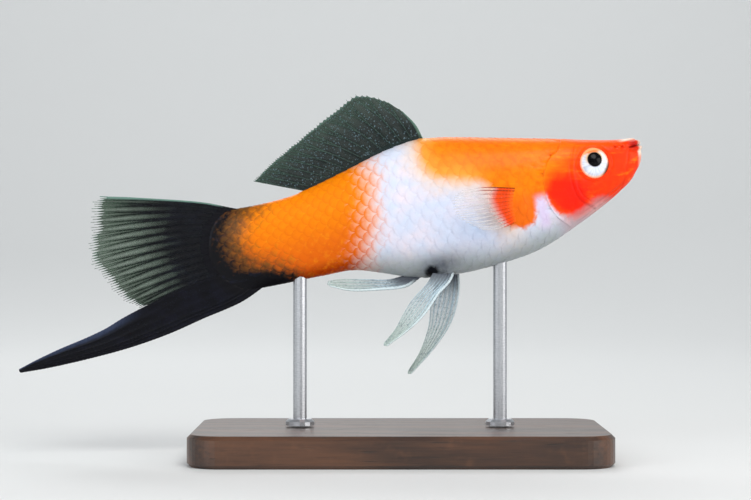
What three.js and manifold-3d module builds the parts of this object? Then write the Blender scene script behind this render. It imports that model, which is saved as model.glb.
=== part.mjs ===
// A life-size display model of a male swordtail, held nose-up on two rods over a flat base.
// Millimetres, +Z up. The fish looks along +X and the origin is the middle of the base's underside.
import * as THREE from 'three';
import { mergeVertices } from 'three/addons/utils/BufferGeometryUtils.js';
import Module from 'manifold-3d';

const wasm = await Module();
wasm.setup();

// Driving dimensions
const STANDARD_LENGTH = 71; // lips to the end of the tail's flesh
const PITCH = THREE.MathUtils.degToRad(12.9); // nose up
const SNOUT = new THREE.Vector3(38.5, 0, 49.8); // where the lips are held
const GAP = 0.3; // between two neighbouring pieces
const ROUND_SIDES = 36; // facets round the body

// The fish's own frame has its origin at the lips, x forward, y to its left and z up.
// The tables give points as [distance behind the lips, height] or [distance, height, y].
const BACK = [[0, 1.7], [4, 2.15], [12.5, 4.2], [24, 7.05], [31, 8.7], [34, 9.05], [39.5, 8.5], [47.7, 6.5],
  [53.5, 5.2], [58.5, 4.7], [64, 4.8], [72, 5.3]];
const BELLY = [[0, -2.7], [1.1, -3.25], [2.6, -4.85], [4.2, -5.95], [9.4, -8.65], [13.3, -10.3], [19.4, -12.45],
  [25, -13.2], [31, -13.4], [36.4, -12.95], [41, -11.95], [45, -10.4], [49, -9.05], [54, -8.8], [62, -8.6], [72, -8.2]];
const FLANK = [[0, 1.95], [3, 2.9], [8, 4.1], [14, 5], [20, 5.5], [26, 5.6], [34, 5.25], [42, 4.35], [50, 3.4],
  [58, 2.6], [65, 1.9], [72, 0.8]];
// How high the widest line lies, as a share of the depth, and how boxy the section is above and below it
const WIDEST = [[0, 0.55], [8, 0.6], [16, 0.55], [28, 0.5], [72, 0.5]];
const BOXY_ABOVE = [[0, 2.5], [6, 3.1], [14, 2.7], [24, 2.3], [40, 2.1], [72, 2.2]];
const BOXY_BELOW = [[0, 2.2], [10, 2], [26, 2.15], [45, 2], [72, 2.2]];
const SNOUT_ROUNDING = 1.3; // length over which the lips' end closes
const MOUTH_HEIGHT = 0.3;

const GILL_EDGE = [[11.4, 9], [12.2, 5.2], [13.5, 2.6], [15.4, 1.3], [16.7, -0.8], [17.2, -3.2], [17, -5.7],
  [16.1, -7.9], [14.2, -9.9], [11.8, -12.2]];
const GILL_COVER_RISE = 0.35; // how far the gill cover stands off the shoulder
const TORSO_END = 55.4; // just behind the root of the dorsal fin
const FLESH_END = [[64.4, 6.4], [65, 5.3], [67.9, 4.4], [70, 2.7], [71.1, 0.2], [71.3, -2.4], [70.5, -5.1],
  [68.8, -7.1], [66.6, -8.7], [66.1, -9.6]];

const EYE = { at: 8, height: -0.95, radius: 2.6, halfDepth: 1.5, proud: 0.7, pupil: 1.15, pupilRise: 0.5 };
const JAW_SEAM = [[-1.5, 0.6], [1.9, 0.32], [2.4, -0.5], [3.4, -3.2], [4.9, -6.6], [5.2, -7.4]];
const LIP = { corner: 1.95, halfWidth: 1.95, radius: 0.42, sides: 7, upper: 1.03, lower: -0.05 };
const NOSTRILS = [[3.2, 0.7], [4.3, 0.95]];
const NOSTRIL_RADIUS = 0.34;

const BASE = { length: 66, width: 36, height: 5, corner: 5, bevel: 0.6 };
const ROD = { radius: 1.1, sides: 16, footRadius: 2.3, footHeight: 1, sunk: 2.2 };
const RODS = { front: 16, rear: -16 }; // x of each rod

const COLOURS = { orange: 0xf58a12, white: 0xe9e6ea, black: 0x17171c, fin: 0x9fb0b4, eye: 0xeef1f4, base: 0x2c211a,
  steel: 0xb9bcc0 };

// Solids

const place = ([at, z, y = 0]) => new THREE.Vector3(-at, y, z);

// A smooth curve of height against distance behind the lips.
function through(points) {
  const curve = new THREE.CubicInterpolant(points.map((p) => p[0]), points.map((p) => p[1]), 1, new Float64Array(1));
  return (at) => curve.evaluate(at)[0];
}

function solidOf(geometry) {
  const bare = geometry.index ? geometry.toNonIndexed() : geometry.clone();
  bare.deleteAttribute('normal');
  bare.deleteAttribute('uv');
  const merged = mergeVertices(bare, 1e-4);
  const vertProperties = new Float32Array(merged.attributes.position.array);
  return new wasm.Manifold(new wasm.Mesh({ numProp: 3, vertProperties, triVerts: new Uint32Array(merged.index.array) }));
}

function geometryOf(solid) {
  const mesh = solid.getMesh();
  const geometry = new THREE.BufferGeometry();
  geometry.setAttribute('position', new THREE.BufferAttribute(mesh.vertProperties, 3));
  geometry.setIndex(new THREE.BufferAttribute(mesh.triVerts, 1));
  geometry.computeVertexNormals();
  return geometry;
}

const piecesOf = (solid) => solid.decompose().sort((a, b) => b.volume() - a.volume());
const largest = (solid) => piecesOf(solid)[0];

function meshFrom(positions, triangles) {
  const geometry = new THREE.BufferGeometry();
  geometry.setAttribute('position', new THREE.Float32BufferAttribute(positions, 3));
  geometry.setIndex(triangles);
  return geometry;
}

// A closed skin over rings that each have the same number of points, with a flat cap at both ends.
function loft(rings) {
  const sides = rings[0].length;
  const middle = (ring) => ring.reduce((sum, p) => sum.add(p), new THREE.Vector3()).divideScalar(sides);
  const points = [...rings.flat(), middle(rings[0]), middle(rings.at(-1))];
  const [firstCap, lastCap] = [points.length - 2, points.length - 1];
  const triangles = [];
  for (let side = 0; side < sides; side += 1) {
    const next = (side + 1) % sides;
    triangles.push(firstCap, next, side);
    for (let ring = 0; ring + 1 < rings.length; ring += 1) {
      const [a, b] = [ring * sides + side, ring * sides + next];
      triangles.push(a, b, b + sides, a, b + sides, a + sides);
    }
    const last = (rings.length - 1) * sides;
    triangles.push(lastCap, last + side, last + next);
  }
  return meshFrom(points.flatMap((p) => p.toArray()), triangles);
}

// A slice of a side view, cut right through the fish.
function sideCut(outline) {
  const halfWidth = 12;
  const shape = new THREE.Shape(outline.map(([at, z]) => new THREE.Vector2(-at, z)));
  const cut = new THREE.ExtrudeGeometry(shape, { depth: 2 * halfWidth, bevelEnabled: false });
  return solidOf(cut.rotateX(Math.PI / 2).translate(0, halfWidth, 0));
}

// A cut of one gap's thickness along a smooth line of the side view.
function seam(line, steps = 26) {
  const curve = new THREE.SplineCurve(line.map(([at, z]) => new THREE.Vector2(at, z)));
  const edges = [1, -1].map((sign) => curve.getPoints(steps).map((p, i) => {
    const normal = curve.getTangent(i / steps);
    return [p.x - (sign * normal.y * GAP) / 2, p.y + (sign * normal.x * GAP) / 2];
  }));
  return sideCut([...edges[0], ...edges[1].reverse()]);
}

// The body's surface

const body = { back: through(BACK), belly: through(BELLY), flank: through(FLANK), widest: through(WIDEST),
  boxyAbove: through(BOXY_ABOVE), boxyBelow: through(BOXY_BELOW) };

// The size of the section at a distance behind the lips, which closes to a point at the lips.
function sectionAt(at, grow = 0) {
  const inRounding = Math.min(at / SNOUT_ROUNDING, 1);
  const closing = Math.sqrt(1 - (1 - inRounding) ** 2);
  const top = MOUTH_HEIGHT + (body.back(at) - MOUTH_HEIGHT) * closing + grow;
  const bottom = MOUTH_HEIGHT + (body.belly(at) - MOUTH_HEIGHT) * closing - grow;
  const middle = bottom + (top - bottom) * body.widest(at);
  return { top, bottom, middle, half: body.flank(at) * closing + grow, above: body.boxyAbove(at),
    below: body.boxyBelow(at) };
}

const power = (value, exponent) => Math.sign(value) * Math.abs(value) ** exponent;

function ringAt(at, grow, widen = () => 0) {
  const section = sectionAt(at, grow);
  return Array.from({ length: ROUND_SIDES }, (_, side) => {
    const angle = (2 * Math.PI * (side + 0.5)) / ROUND_SIDES;
    const [across, up] = [Math.sin(angle), Math.cos(angle)];
    const boxy = 2 / (up > 0 ? section.above : section.below);
    const reach = up > 0 ? section.top - section.middle : section.middle - section.bottom;
    const y = (section.half + widen(at) * Math.abs(across)) * power(across, boxy);
    return place([at, section.middle + reach * power(up, boxy), y]);
  });
}

// How far the surface is from the middle plane at a place in the side view.
function surfaceY(at, z) {
  const section = sectionAt(at);
  const [reach, boxy] = z > section.middle
    ? [section.top - section.middle, section.above] : [section.middle - section.bottom, section.below];
  const share = Math.min(Math.abs(z - section.middle) / reach, 1);
  return section.half * (1 - share ** boxy) ** (1 / boxy);
}

const spaced = (from, to, step) => {
  const count = Math.ceil((to - from) / step);
  return Array.from({ length: count + 1 }, (_, i) => from + ((to - from) * i) / count);
};

const bodyBetween = (stations, grow = 0, widen = undefined) =>
  solidOf(loft(stations.map((at) => ringAt(at, grow, widen))));

const smoothstep = (from, to, value) => THREE.MathUtils.smoothstep(value, from, to);
const gillCoverRise = (at) => GILL_COVER_RISE * smoothstep(9, 15.5, at);
const snoutStations = [0.02, 0.12, 0.3, 0.55, 0.9, 1.3, 1.8, 2.4, 3.1, 4, 5];
const headStations = [...snoutStations, ...spaced(6, 20, 1.2)];
const torsoStations = spaced(11, TORSO_END - GAP / 2, 1.8);
const tailStations = spaced(TORSO_END + GAP / 2, 72, 1.8);
const grownBody = bodyBetween([...snoutStations, ...spaced(6, 72, 1.5)], GAP);

// Head, jaw and eyes

const sides = { left: 1, right: -1 };

// The place on a flank, as a matrix that turns +Y outwards and lays it on the surface.
function onFlank(at, height, side) {
  const step = 0.2;
  const slopeX = (surfaceY(at - step, height) - surfaceY(at + step, height)) / (2 * step);
  const slopeZ = (surfaceY(at, height + step) - surfaceY(at, height - step)) / (2 * step);
  const outwards = new THREE.Vector3(-slopeX, side, -slopeZ).normalize();
  const turn = new THREE.Quaternion().setFromUnitVectors(new THREE.Vector3(0, side, 0), outwards);
  const point = place([at, height, side * surfaceY(at, height)]);
  return new THREE.Matrix4().compose(point, turn, new THREE.Vector3(1, side, 1));
}

function ellipsoid(radius, halfDepth, around = 20, rings = 10) {
  return new THREE.SphereGeometry(1, around, rings).scale(radius, halfDepth, radius);
}

// Mirroring turns a geometry's faces round, so they are turned back.
function placed(geometry, matrix) {
  const moved = geometry.index ? geometry.toNonIndexed() : geometry.clone();
  moved.applyMatrix4(matrix);
  if (matrix.determinant() > 0) return solidOf(moved);
  const position = moved.attributes.position.array;
  for (let i = 0; i < position.length; i += 9) {
    for (let axis = 0; axis < 3; axis += 1) {
      [position[i + 3 + axis], position[i + 6 + axis]] = [position[i + 6 + axis], position[i + 3 + axis]];
    }
  }
  return solidOf(moved);
}

const eyeCentre = EYE.proud - EYE.halfDepth;

function eyeball(side) {
  const seat = onFlank(EYE.at, EYE.height, side);
  const ball = ellipsoid(EYE.radius, EYE.halfDepth).translate(0, eyeCentre, 0);
  const pupil = ellipsoid(EYE.pupil, 0.5, 16, 6).translate(0, EYE.proud - 0.28, EYE.pupilRise);
  return largest(placed(ball, seat).add(placed(pupil, seat)));
}

function eyeSocket(side) {
  const hollow = ellipsoid(EYE.radius + GAP, EYE.halfDepth + GAP).translate(0, eyeCentre, 0);
  return placed(hollow, onFlank(EYE.at, EYE.height, side));
}

function eyeRim(side) {
  const rim = new THREE.TorusGeometry(EYE.radius + 0.05, 0.42, 6, 24).rotateX(Math.PI / 2).translate(0, -0.12, 0);
  return placed(rim, onFlank(EYE.at, EYE.height, side));
}

// A lip runs round the front of the snout from one corner of the mouth to the other and thins towards them.
function lip(height, front) {
  const rings = spaced(-1, 1, 0.16).map((turn) => {
    const angle = turn * 1.9;
    const middle = place([LIP.corner - (LIP.corner - front) * Math.cos(angle * 0.8), height,
      LIP.halfWidth * Math.sin(angle * 0.83)]);
    const along = new THREE.Vector3(Math.sin(angle) * 0.9, Math.cos(angle), 0).normalize();
    const across = new THREE.Vector3(along.y, -along.x, 0);
    const radius = LIP.radius * (1 - 0.55 * turn ** 4);
    return Array.from({ length: LIP.sides }, (_, side) => {
      const around = (2 * Math.PI * side) / LIP.sides;
      return middle.clone().addScaledVector(across, radius * Math.cos(around))
        .add(new THREE.Vector3(0, 0, radius * Math.sin(around)));
    });
  });
  return solidOf(loft(rings));
}

function headAndJaw() {
  let head = bodyBetween(headStations, 0, gillCoverRise);
  head = head.add(lip(LIP.upper, 0.5)).add(lip(LIP.lower, 0.35));
  for (const side of Object.values(sides)) {
    head = head.add(eyeRim(side)).subtract(eyeSocket(side));
    for (const [at, height] of NOSTRILS) {
      head = head.subtract(placed(ellipsoid(NOSTRIL_RADIUS, 0.45, 10, 6), onFlank(at, height, side)));
    }
  }
  return piecesOf(largest(head.subtract(seam(GILL_EDGE))).subtract(seam(JAW_SEAM)));
}

// Fins

const curveThrough = (points) => new THREE.CatmullRomCurve3(points.map(place));

// A surface stretched between a fin's root, its free edge, and its first and last ray.
function fanned({ root, edge, first, last }) {
  const [rootCurve, edgeCurve, firstCurve, lastCurve] = [root, edge, first, last].map(curveThrough);
  const corners = [root[0], root.at(-1), edge[0], edge.at(-1)].map(place);
  return (across, along) => new THREE.Vector3()
    .addScaledVector(rootCurve.getPointAt(across), 1 - along)
    .addScaledVector(edgeCurve.getPointAt(across), along)
    .addScaledVector(firstCurve.getPointAt(along), 1 - across)
    .addScaledVector(lastCurve.getPointAt(along), across)
    .addScaledVector(corners[0], -(1 - across) * (1 - along))
    .addScaledVector(corners[1], -across * (1 - along))
    .addScaledVector(corners[2], -(1 - across) * along)
    .addScaledVector(corners[3], -across * along);
}

// A membrane with a raised ridge for each ray. Both faces have the same triangles.
function finSolid(surface, { rays, steps, ridge = [0.46, 0.3], membrane = [0.3, 0.22], notch = 0.03, sway = () => 0 }) {
  const columns = [];
  for (let ray = 0; ray < rays; ray += 1) {
    const across = ray / (rays - 1);
    const foot = 0.24 / (rays - 1);
    if (ray > 0) columns.push({ across: across - foot, crest: false });
    columns.push({ across, crest: true });
    if (ray < rays - 1) columns.push({ across: across + foot, crest: false });
  }
  const width = columns.length;
  const faces = [[], []];
  for (let step = 0; step <= steps; step += 1) {
    for (const { across, crest } of columns) {
      const along = (step / steps) * (crest ? 1 : 1 - notch);
      const point = surface(across, along);
      const near = 1e-3;
      const [a0, a1] = [Math.max(across - near, 0), Math.min(across + near, 1)];
      const [b0, b1] = [Math.max(along - near, 0), Math.min(along + near, 1)];
      const normal = surface(a1, along).sub(surface(a0, along))
        .cross(surface(across, b1).sub(surface(across, b0))).normalize();
      const [root, tip] = crest ? ridge : membrane;
      const half = THREE.MathUtils.lerp(root, tip, along);
      point.y += sway(-point.x, across, along);
      faces[0].push(point.clone().addScaledVector(normal, half));
      faces[1].push(point.clone().addScaledVector(normal, -half));
    }
  }
  const other = faces[0].length;
  const triangles = [];
  const quad = (a, b, c, d) => triangles.push(a, b, c, a, c, d);
  for (let step = 0; step < steps; step += 1) {
    for (let column = 0; column + 1 < width; column += 1) {
      const [a, b] = [step * width + column, (step + 1) * width + column];
      quad(a, a + 1, b + 1, b);
      triangles.push(other + a, other + b + 1, other + a + 1, other + a, other + b, other + b + 1);
    }
    const [a, b] = [step * width, (step + 1) * width];
    quad(a, b, other + b, other + a);
    quad(b - 1, other + b - 1, other + b + width - 1, b + width - 1);
  }
  for (let column = 0; column + 1 < width; column += 1) {
    const free = steps * width + column;
    quad(column, other + column, other + column + 1, column + 1);
    quad(free, free + 1, other + free + 1, other + free);
  }
  return solidOf(meshFrom([...faces[0], ...faces[1]].flatMap((p) => p.toArray()), triangles));
}

const tailSway = (at) => 2.4 * Math.max((at - 66) / 39, 0) ** 2;

function dorsalFin() {
  const root = spaced(33.7, 54.6, 2.4).map((at) => [at, body.back(at) + GAP + 0.04]);
  const edge = [[35.9, 14.1], [38.6, 16.6], [42.6, 18.2], [46.1, 16.7], [49.9, 14.9], [53.9, 12.9], [58.6, 10.4],
    [61.6, 8.5]];
  const first = [root[0], [34.3, 11.5], edge[0]];
  const last = [root.at(-1), [58.1, 6.9], edge.at(-1)];
  return finSolid(fanned({ root, edge, first, last }), { rays: 12, steps: 7, notch: 0.045,
    sway: (at, across, along) => 0.9 * along * along * Math.sin(across * 2.6) });
}

// The root of the tail fin follows the end of the flesh at one gap's distance.
const fleshEnd = new THREE.SplineCurve(FLESH_END.map(([at, z]) => new THREE.Vector2(at, z)));

function tailRoot(from, to) {
  return spaced(from, to, (to - from) / 8).map((t) => {
    const point = fleshEnd.getPointAt(t);
    const along = fleshEnd.getTangentAt(t);
    return [point.x - along.y * (GAP / 2 + 0.2), point.y + along.x * (GAP / 2 + 0.2)];
  });
}

const SWORD_START = 0.68; // share of the tail's root above the sword
const TAIL_NOTCH = [83.4, -6.9];

function caudalFin() {
  const root = tailRoot(0.12, SWORD_START);
  const edge = [[86.1, 11.6], [87.5, 10.2], [88.3, 6.9], [89.5, 3.9], [89.5, 1.4], [88.2, -1.2], [87, -3.7],
    [85.6, -5.7], TAIL_NOTCH];
  const first = [root[0], [70, 6.9], [78, 9.4], edge[0]];
  const last = [root.at(-1), [77, -5.4], TAIL_NOTCH];
  return finSolid(fanned({ root, edge, first, last }), { rays: 13, steps: 8, sway: tailSway });
}

function sword() {
  const root = tailRoot(SWORD_START + 0.012, 0.9);
  const edge = [[105.3, -12.6], [105.35, -12.8], [105.2, -13.05]];
  const below = TAIL_NOTCH[1] - GAP - 0.12;
  const first = [root[0], [77, -5.84], [TAIL_NOTCH[0], below], [87.2, -8.35], [90, -9.3], [93.6, -10.1],
    [97.7, -10.8], [101.9, -11.7], edge[0]];
  const last = [root.at(-1), [69.7, -10], [73.8, -10.9], [80.1, -12.2], [86.3, -12.95], [92.3, -13.25],
    [100.3, -13.3], edge.at(-1)];
  return finSolid(fanned({ root, edge, first, last }), { rays: 5, steps: 16, sway: tailSway, notch: 0,
    ridge: [0.55, 0.32], membrane: [0.36, 0.25] });
}

// The rod-like anal fin of a male trails close under the belly.
function gonopodium() {
  const root = [[39.3, -12.4], [40.6, -12.3], [41.9, -11.7]];
  const edge = [[53.4, -10.6], [53.8, -10.2], [53.5, -9.75]];
  const first = [root[0], [41.5, -13.3], [46, -12.85], [50.5, -11.95], edge[0]];
  const last = [root.at(-1), [44, -11.75], [48, -10.75], [51.5, -9.95], edge.at(-1)];
  const fin = finSolid(fanned({ root, edge, first, last }), { rays: 4, steps: 10, notch: 0,
    ridge: [0.75, 0.34], membrane: [0.5, 0.25] });
  return largest(fin.subtract(grownBody));
}

// The paired fins. A side's table is mirrored by the sign of that side, and its root is sunk in the body.
const outwards = (points, side) => points.map(([at, z, y]) => [at, z, y * sides[side]]);

function pairedFin(table, root, side, ribs) {
  const from = outwards(root, side);
  const edge = outwards(table.edge, side);
  const first = [from[0], ...outwards(table.first, side), edge[0]];
  const last = [from.at(-1), ...outwards(table.last, side), edge.at(-1)];
  return largest(finSolid(fanned({ root: from, edge, first, last }), ribs).subtract(grownBody));
}

// The two pelvic fins hang at different angles. Each point is [distance, height, y outwards].
const PELVIC = {
  right: {
    root: [33.2, 34.7, 36.4],
    edge: [[46.6, -21.7, 5.4], [47.1, -21.6, 5.4], [47, -21.2, 5.2]],
    first: [[34.6, -14, 2.4], [36.9, -15.6, 3.1], [39.6, -18.1, 4.1], [42.7, -20, 4.9]],
    last: [[38.3, -13.7, 2.5], [41.1, -15.6, 3.3], [43, -17.5, 4.2], [44.8, -19.5, 4.9]],
  },
  left: {
    root: [32.8, 34.2, 35.8],
    edge: [[43.9, -27.5, 5.2], [44.4, -27.4, 5.2], [44.3, -27, 5]],
    first: [[33.1, -14.8, 2.3], [34.3, -18.3, 3.1], [36.2, -21.3, 4.1], [39.8, -24.6, 4.8]],
    last: [[36.9, -14, 2.4], [38.3, -17.2, 3.3], [39.4, -20.6, 4.1], [41.6, -24.2, 4.8]],
  },
};
const PELVIC_ROOT = { sunk: 1.3, fromMiddle: 1.6 };

function pelvicFin(side) {
  const table = PELVIC[side];
  const root = table.root.map((at) => [at, body.belly(at) + PELVIC_ROOT.sunk, PELVIC_ROOT.fromMiddle]);
  return pairedFin(table, root, side, { rays: 5, steps: 11, notch: 0, ridge: [0.42, 0.27], membrane: [0.28, 0.22] });
}

// The root is [distance, height], set on the flank.
const PECTORAL = {
  root: [[20.4, -2.3], [21.3, -4.6], [21.8, -6.9]],
  edge: [[29.6, -0.6, 11.2], [31.2, -1.4, 12], [31.8, -3.2, 12.1], [30.6, -5.3, 11.2], [28.2, -7.2, 9.4]],
  first: [[22.6, -1.7, 6.3], [26, -0.9, 8.9]],
  last: [[23.6, -7.5, 6], [25.8, -7.7, 7.6]],
};
const PECTORAL_SUNK = 0.6;

function pectoralFin(side) {
  const root = PECTORAL.root.map(([at, z]) => [at, z, surfaceY(at, z) - PECTORAL_SUNK]);
  return pairedFin(PECTORAL, root, side, { rays: 8, steps: 7, notch: 0.05, ridge: [0.4, 0.27], membrane: [0.27, 0.22] });
}

// Stand

function standBase() {
  const { length, width, height, corner, bevel } = BASE;
  const [x, y] = [length / 2 - bevel, width / 2 - bevel];
  const shape = new THREE.Shape();
  shape.moveTo(-x + corner, -y).lineTo(x - corner, -y);
  shape.absarc(x - corner, -y + corner, corner, -Math.PI / 2, 0);
  shape.absarc(x - corner, y - corner, corner, 0, Math.PI / 2);
  shape.absarc(-x + corner, y - corner, corner, Math.PI / 2, Math.PI);
  shape.absarc(-x + corner, -y + corner, corner, Math.PI, 1.5 * Math.PI);
  const plate = new THREE.ExtrudeGeometry(shape, { depth: height - 2 * bevel, bevelSize: bevel,
    bevelThickness: bevel, bevelSegments: 1, curveSegments: 5 });
  return solidOf(plate.translate(0, 0, bevel));
}

const onFish = new THREE.Matrix4().compose(SNOUT, new THREE.Quaternion()
  .setFromAxisAngle(new THREE.Vector3(0, 1, 0), -PITCH), new THREE.Vector3(1, 1, 1));
const toFish = onFish.clone().invert();

// The height of the belly over a place on the base.
function bellyOver(x) {
  const points = spaced(5, STANDARD_LENGTH, 0.25).map((at) => place([at, body.belly(at)]).applyMatrix4(onFish));
  return points.reduce((best, p) => (Math.abs(p.x - x) < Math.abs(best.x - x) ? p : best)).z;
}

function standRod(x, grow = 0) {
  const { radius, footRadius, footHeight, sunk, sides: facets } = ROD;
  const bottom = BASE.height + GAP;
  const top = bellyOver(x) + sunk + grow;
  const profile = [[0, bottom], [footRadius, bottom], [footRadius, bottom + footHeight * 0.6],
    [footRadius - 0.4, bottom + footHeight], [radius + grow, bottom + footHeight], [radius + grow, top - 0.3],
    [radius + grow - 0.3, top], [0, top]];
  const rod = new THREE.LatheGeometry(profile.map(([r, z]) => new THREE.Vector2(r, z)), facets);
  return rod.rotateX(Math.PI / 2).translate(x, 0, 0);
}

const rodSockets = Object.values(RODS).map((x) => solidOf(standRod(x, GAP).applyMatrix4(toFish)));

// Assembly

function named(name, solid, colour, roughness = 0.45, metalness = 0) {
  const mesh = new THREE.Mesh(geometryOf(solid), new THREE.MeshStandardMaterial({ color: colour, roughness, metalness }));
  mesh.name = name;
  return mesh;
}

const [headSolid, jawSolid] = headAndJaw();
const torso = largest(rodSockets.reduce((solid, rod) => solid.subtract(rod),
  bodyBetween(torsoStations).subtract(seam(GILL_EDGE))));
const tail = largest(rodSockets.reduce((solid, rod) => solid.subtract(rod),
  bodyBetween(tailStations).subtract(seam(FLESH_END))));

const fish = new THREE.Group();
fish.position.copy(SNOUT);
fish.rotation.y = -PITCH;
fish.add(
  named('head', headSolid, COLOURS.orange),
  named('lower_jaw', jawSolid, COLOURS.orange),
  named('torso', torso, COLOURS.white),
  named('tail', tail, COLOURS.orange),
  named('dorsal_fin', dorsalFin(), COLOURS.fin),
  named('caudal_fin', caudalFin(), COLOURS.black),
  named('sword', sword(), COLOURS.black),
  named('gonopodium', gonopodium(), COLOURS.fin),
);
for (const side of Object.keys(sides)) {
  fish.add(
    named(`eye_${side}`, eyeball(sides[side]), COLOURS.eye, 0.2),
    named(`pectoral_fin_${side}`, pectoralFin(side), COLOURS.fin),
    named(`pelvic_fin_${side}`, pelvicFin(side), COLOURS.fin),
  );
}

const stand = new THREE.Group();
stand.add(named('stand_base', standBase(), COLOURS.base));
for (const [end, x] of Object.entries(RODS)) {
  stand.add(named(`stand_rod_${end}`, solidOf(standRod(x)), COLOURS.steel, 0.3, 1));
}

const model = new THREE.Group();
model.add(fish, stand);

export default model;
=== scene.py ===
"""Dresses a life-size display model of a male swordtail fish on its stand.

Blender 4.5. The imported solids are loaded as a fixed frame, and every piece is made in that frame.
The fish has a frame of its own, in millimetres: the origin is at the lips, "behind" is the distance
behind them, y points to the fish's left and z up.
"""

import math

import bpy
import numpy as np
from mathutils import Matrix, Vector


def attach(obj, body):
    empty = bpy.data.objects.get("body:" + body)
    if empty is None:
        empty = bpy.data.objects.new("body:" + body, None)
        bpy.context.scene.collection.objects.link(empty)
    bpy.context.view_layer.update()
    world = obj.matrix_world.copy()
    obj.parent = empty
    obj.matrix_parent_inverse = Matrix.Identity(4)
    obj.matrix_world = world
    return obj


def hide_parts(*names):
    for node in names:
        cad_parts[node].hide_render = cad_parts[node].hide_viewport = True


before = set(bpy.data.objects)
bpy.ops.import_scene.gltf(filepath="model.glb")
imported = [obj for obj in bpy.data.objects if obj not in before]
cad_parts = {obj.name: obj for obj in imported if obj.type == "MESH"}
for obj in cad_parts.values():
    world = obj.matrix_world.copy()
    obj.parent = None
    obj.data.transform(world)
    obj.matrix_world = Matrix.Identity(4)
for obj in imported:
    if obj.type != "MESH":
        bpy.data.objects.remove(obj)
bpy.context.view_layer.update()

bl_info = {
    "name": "Swordtail Display Model",
    "version": (1, 0, 0),
    "blender": (4, 5, 0),
    "location": "View3D > Sidebar > Swordtail",
    "description": "Dresses a life-size model of a male swordtail fish on a display stand",
    "category": "Object",
}

MM = 0.001

# The fish's shape, as the solids have it. Points are (behind, z) or (behind, z, y).

PITCH = math.radians(12.9)
SNOUT = np.array((38.5, 0.0, 49.8))
BACK = [(0, 1.7), (4, 2.15), (12.5, 4.2), (24, 7.05), (31, 8.7), (34, 9.05), (39.5, 8.5), (47.7, 6.5),
        (53.5, 5.2), (58.5, 4.7), (64, 4.8), (72, 5.3)]
BELLY = [(0, -2.7), (1.1, -3.25), (2.6, -4.85), (4.2, -5.95), (9.4, -8.65), (13.3, -10.3), (19.4, -12.45),
         (25, -13.2), (31, -13.4), (36.4, -12.95), (41, -11.95), (45, -10.4), (49, -9.05), (54, -8.8),
         (62, -8.6), (72, -8.2)]
FLANK = [(0, 1.95), (3, 2.9), (8, 4.1), (14, 5), (20, 5.5), (26, 5.6), (34, 5.25), (42, 4.35), (50, 3.4),
         (58, 2.6), (65, 1.9), (72, 0.8)]
WIDEST = [(0, 0.55), (8, 0.6), (16, 0.55), (28, 0.5), (72, 0.5)]
BOXY_ABOVE = [(0, 2.5), (6, 3.1), (14, 2.7), (24, 2.3), (40, 2.1), (72, 2.2)]
BOXY_BELOW = [(0, 2.2), (10, 2), (26, 2.15), (45, 2), (72, 2.2)]
SNOUT_ROUNDING = 1.3
MOUTH_HEIGHT = 0.3
GILL_EDGE = [(11.4, 9), (12.2, 5.2), (13.5, 2.6), (15.4, 1.3), (16.7, -0.8), (17.2, -3.2), (17, -5.7),
             (16.1, -7.9), (14.2, -9.9), (11.8, -12.2)]
FLESH_END = [(64.4, 6.4), (65, 5.3), (67.9, 4.4), (70, 2.7), (71.1, 0.2), (71.3, -2.4), (70.5, -5.1),
             (68.8, -7.1), (66.6, -8.7), (66.1, -9.6)]
FLESH_LENGTH = 71.3
EYE_PLACE = (8.25, -0.95)
EYE_RADIUS, EYE_HALF_DEPTH, EYE_PROUD = 2.6, 1.5, 0.7
NOSTRILS = [(3.2, 0.7), (4.3, 0.95)]
CHEEK_FOLD = [(10.6, 2.0), (11.7, -0.6), (12.0, -3.4), (11.4, -5.8), (9.4, -7.6)]
JAW_FOLD = [(2.0, 0.25), (2.4, -0.5), (3.4, -3.2), (4.9, -6.6)]

# Where the markings lie on a side, as closed outlines.

GOLD_OUTLINE = [(-6, 14), (33.3, 14), (33.4, 10.4), (34.6, 9), (35.1, 5.9), (34.5, 4.1), (33.3, 2.5),
                (30.1, 1.45), (26.6, 0.3), (25.1, -1), (24.9, -3.5), (24.5, -5.8), (23.4, -7.6),
                (21.6, -8.5), (20, -8.3), (19, -6.8), (18.5, -5), (17.9, -3.9), (17.1, -4.4), (16.7, -6),
                (15.6, -7.6), (13.4, -7.9), (11, -7.2), (8.7, -6.3), (7, -6.5), (5.8, -7.4), (4, -9.5),
                (-6, -9)]
ORANGE_OUTLINE = [(43.3, 12), (43.4, 8.2), (42.7, 5.3), (43.6, 2.2), (43.9, -0.1), (44.5, -3), (46, -5.6),
                  (46.8, -8), (48.6, -11), (56, -14), (90, -14), (90, 14), (60, 14)]
BLACK_OUTLINE = [(61.8, 9), (62, 5.4), (63.6, 4.2), (65.4, 2.8), (66.3, 1), (66.6, -1.2), (65.9, -3.2),
                 (64.3, -4.7), (62.3, -5.7), (60.3, -7), (58.8, -8.6), (58, -14), (110, -14), (110, 14),
                 (62, 14)]

# Distances behind the lips: the end of the finely ringed head, where the rings start to bend to the end
# of the flesh, where the bed of the scales starts, and the length that places along the bed are shares of.

HEAD_LENGTH, BENT_FROM, SCALED_FROM, WRAP_LENGTH = 18, 50, 9, 72
SIDES = (("left", 1), ("right", -1))

# In millimetres from the row's origin

FISH_MIDDLE = (-8, 0, 38)
CAMERA_PLACE = (-3.92, -333.8, 33.3)


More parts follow.
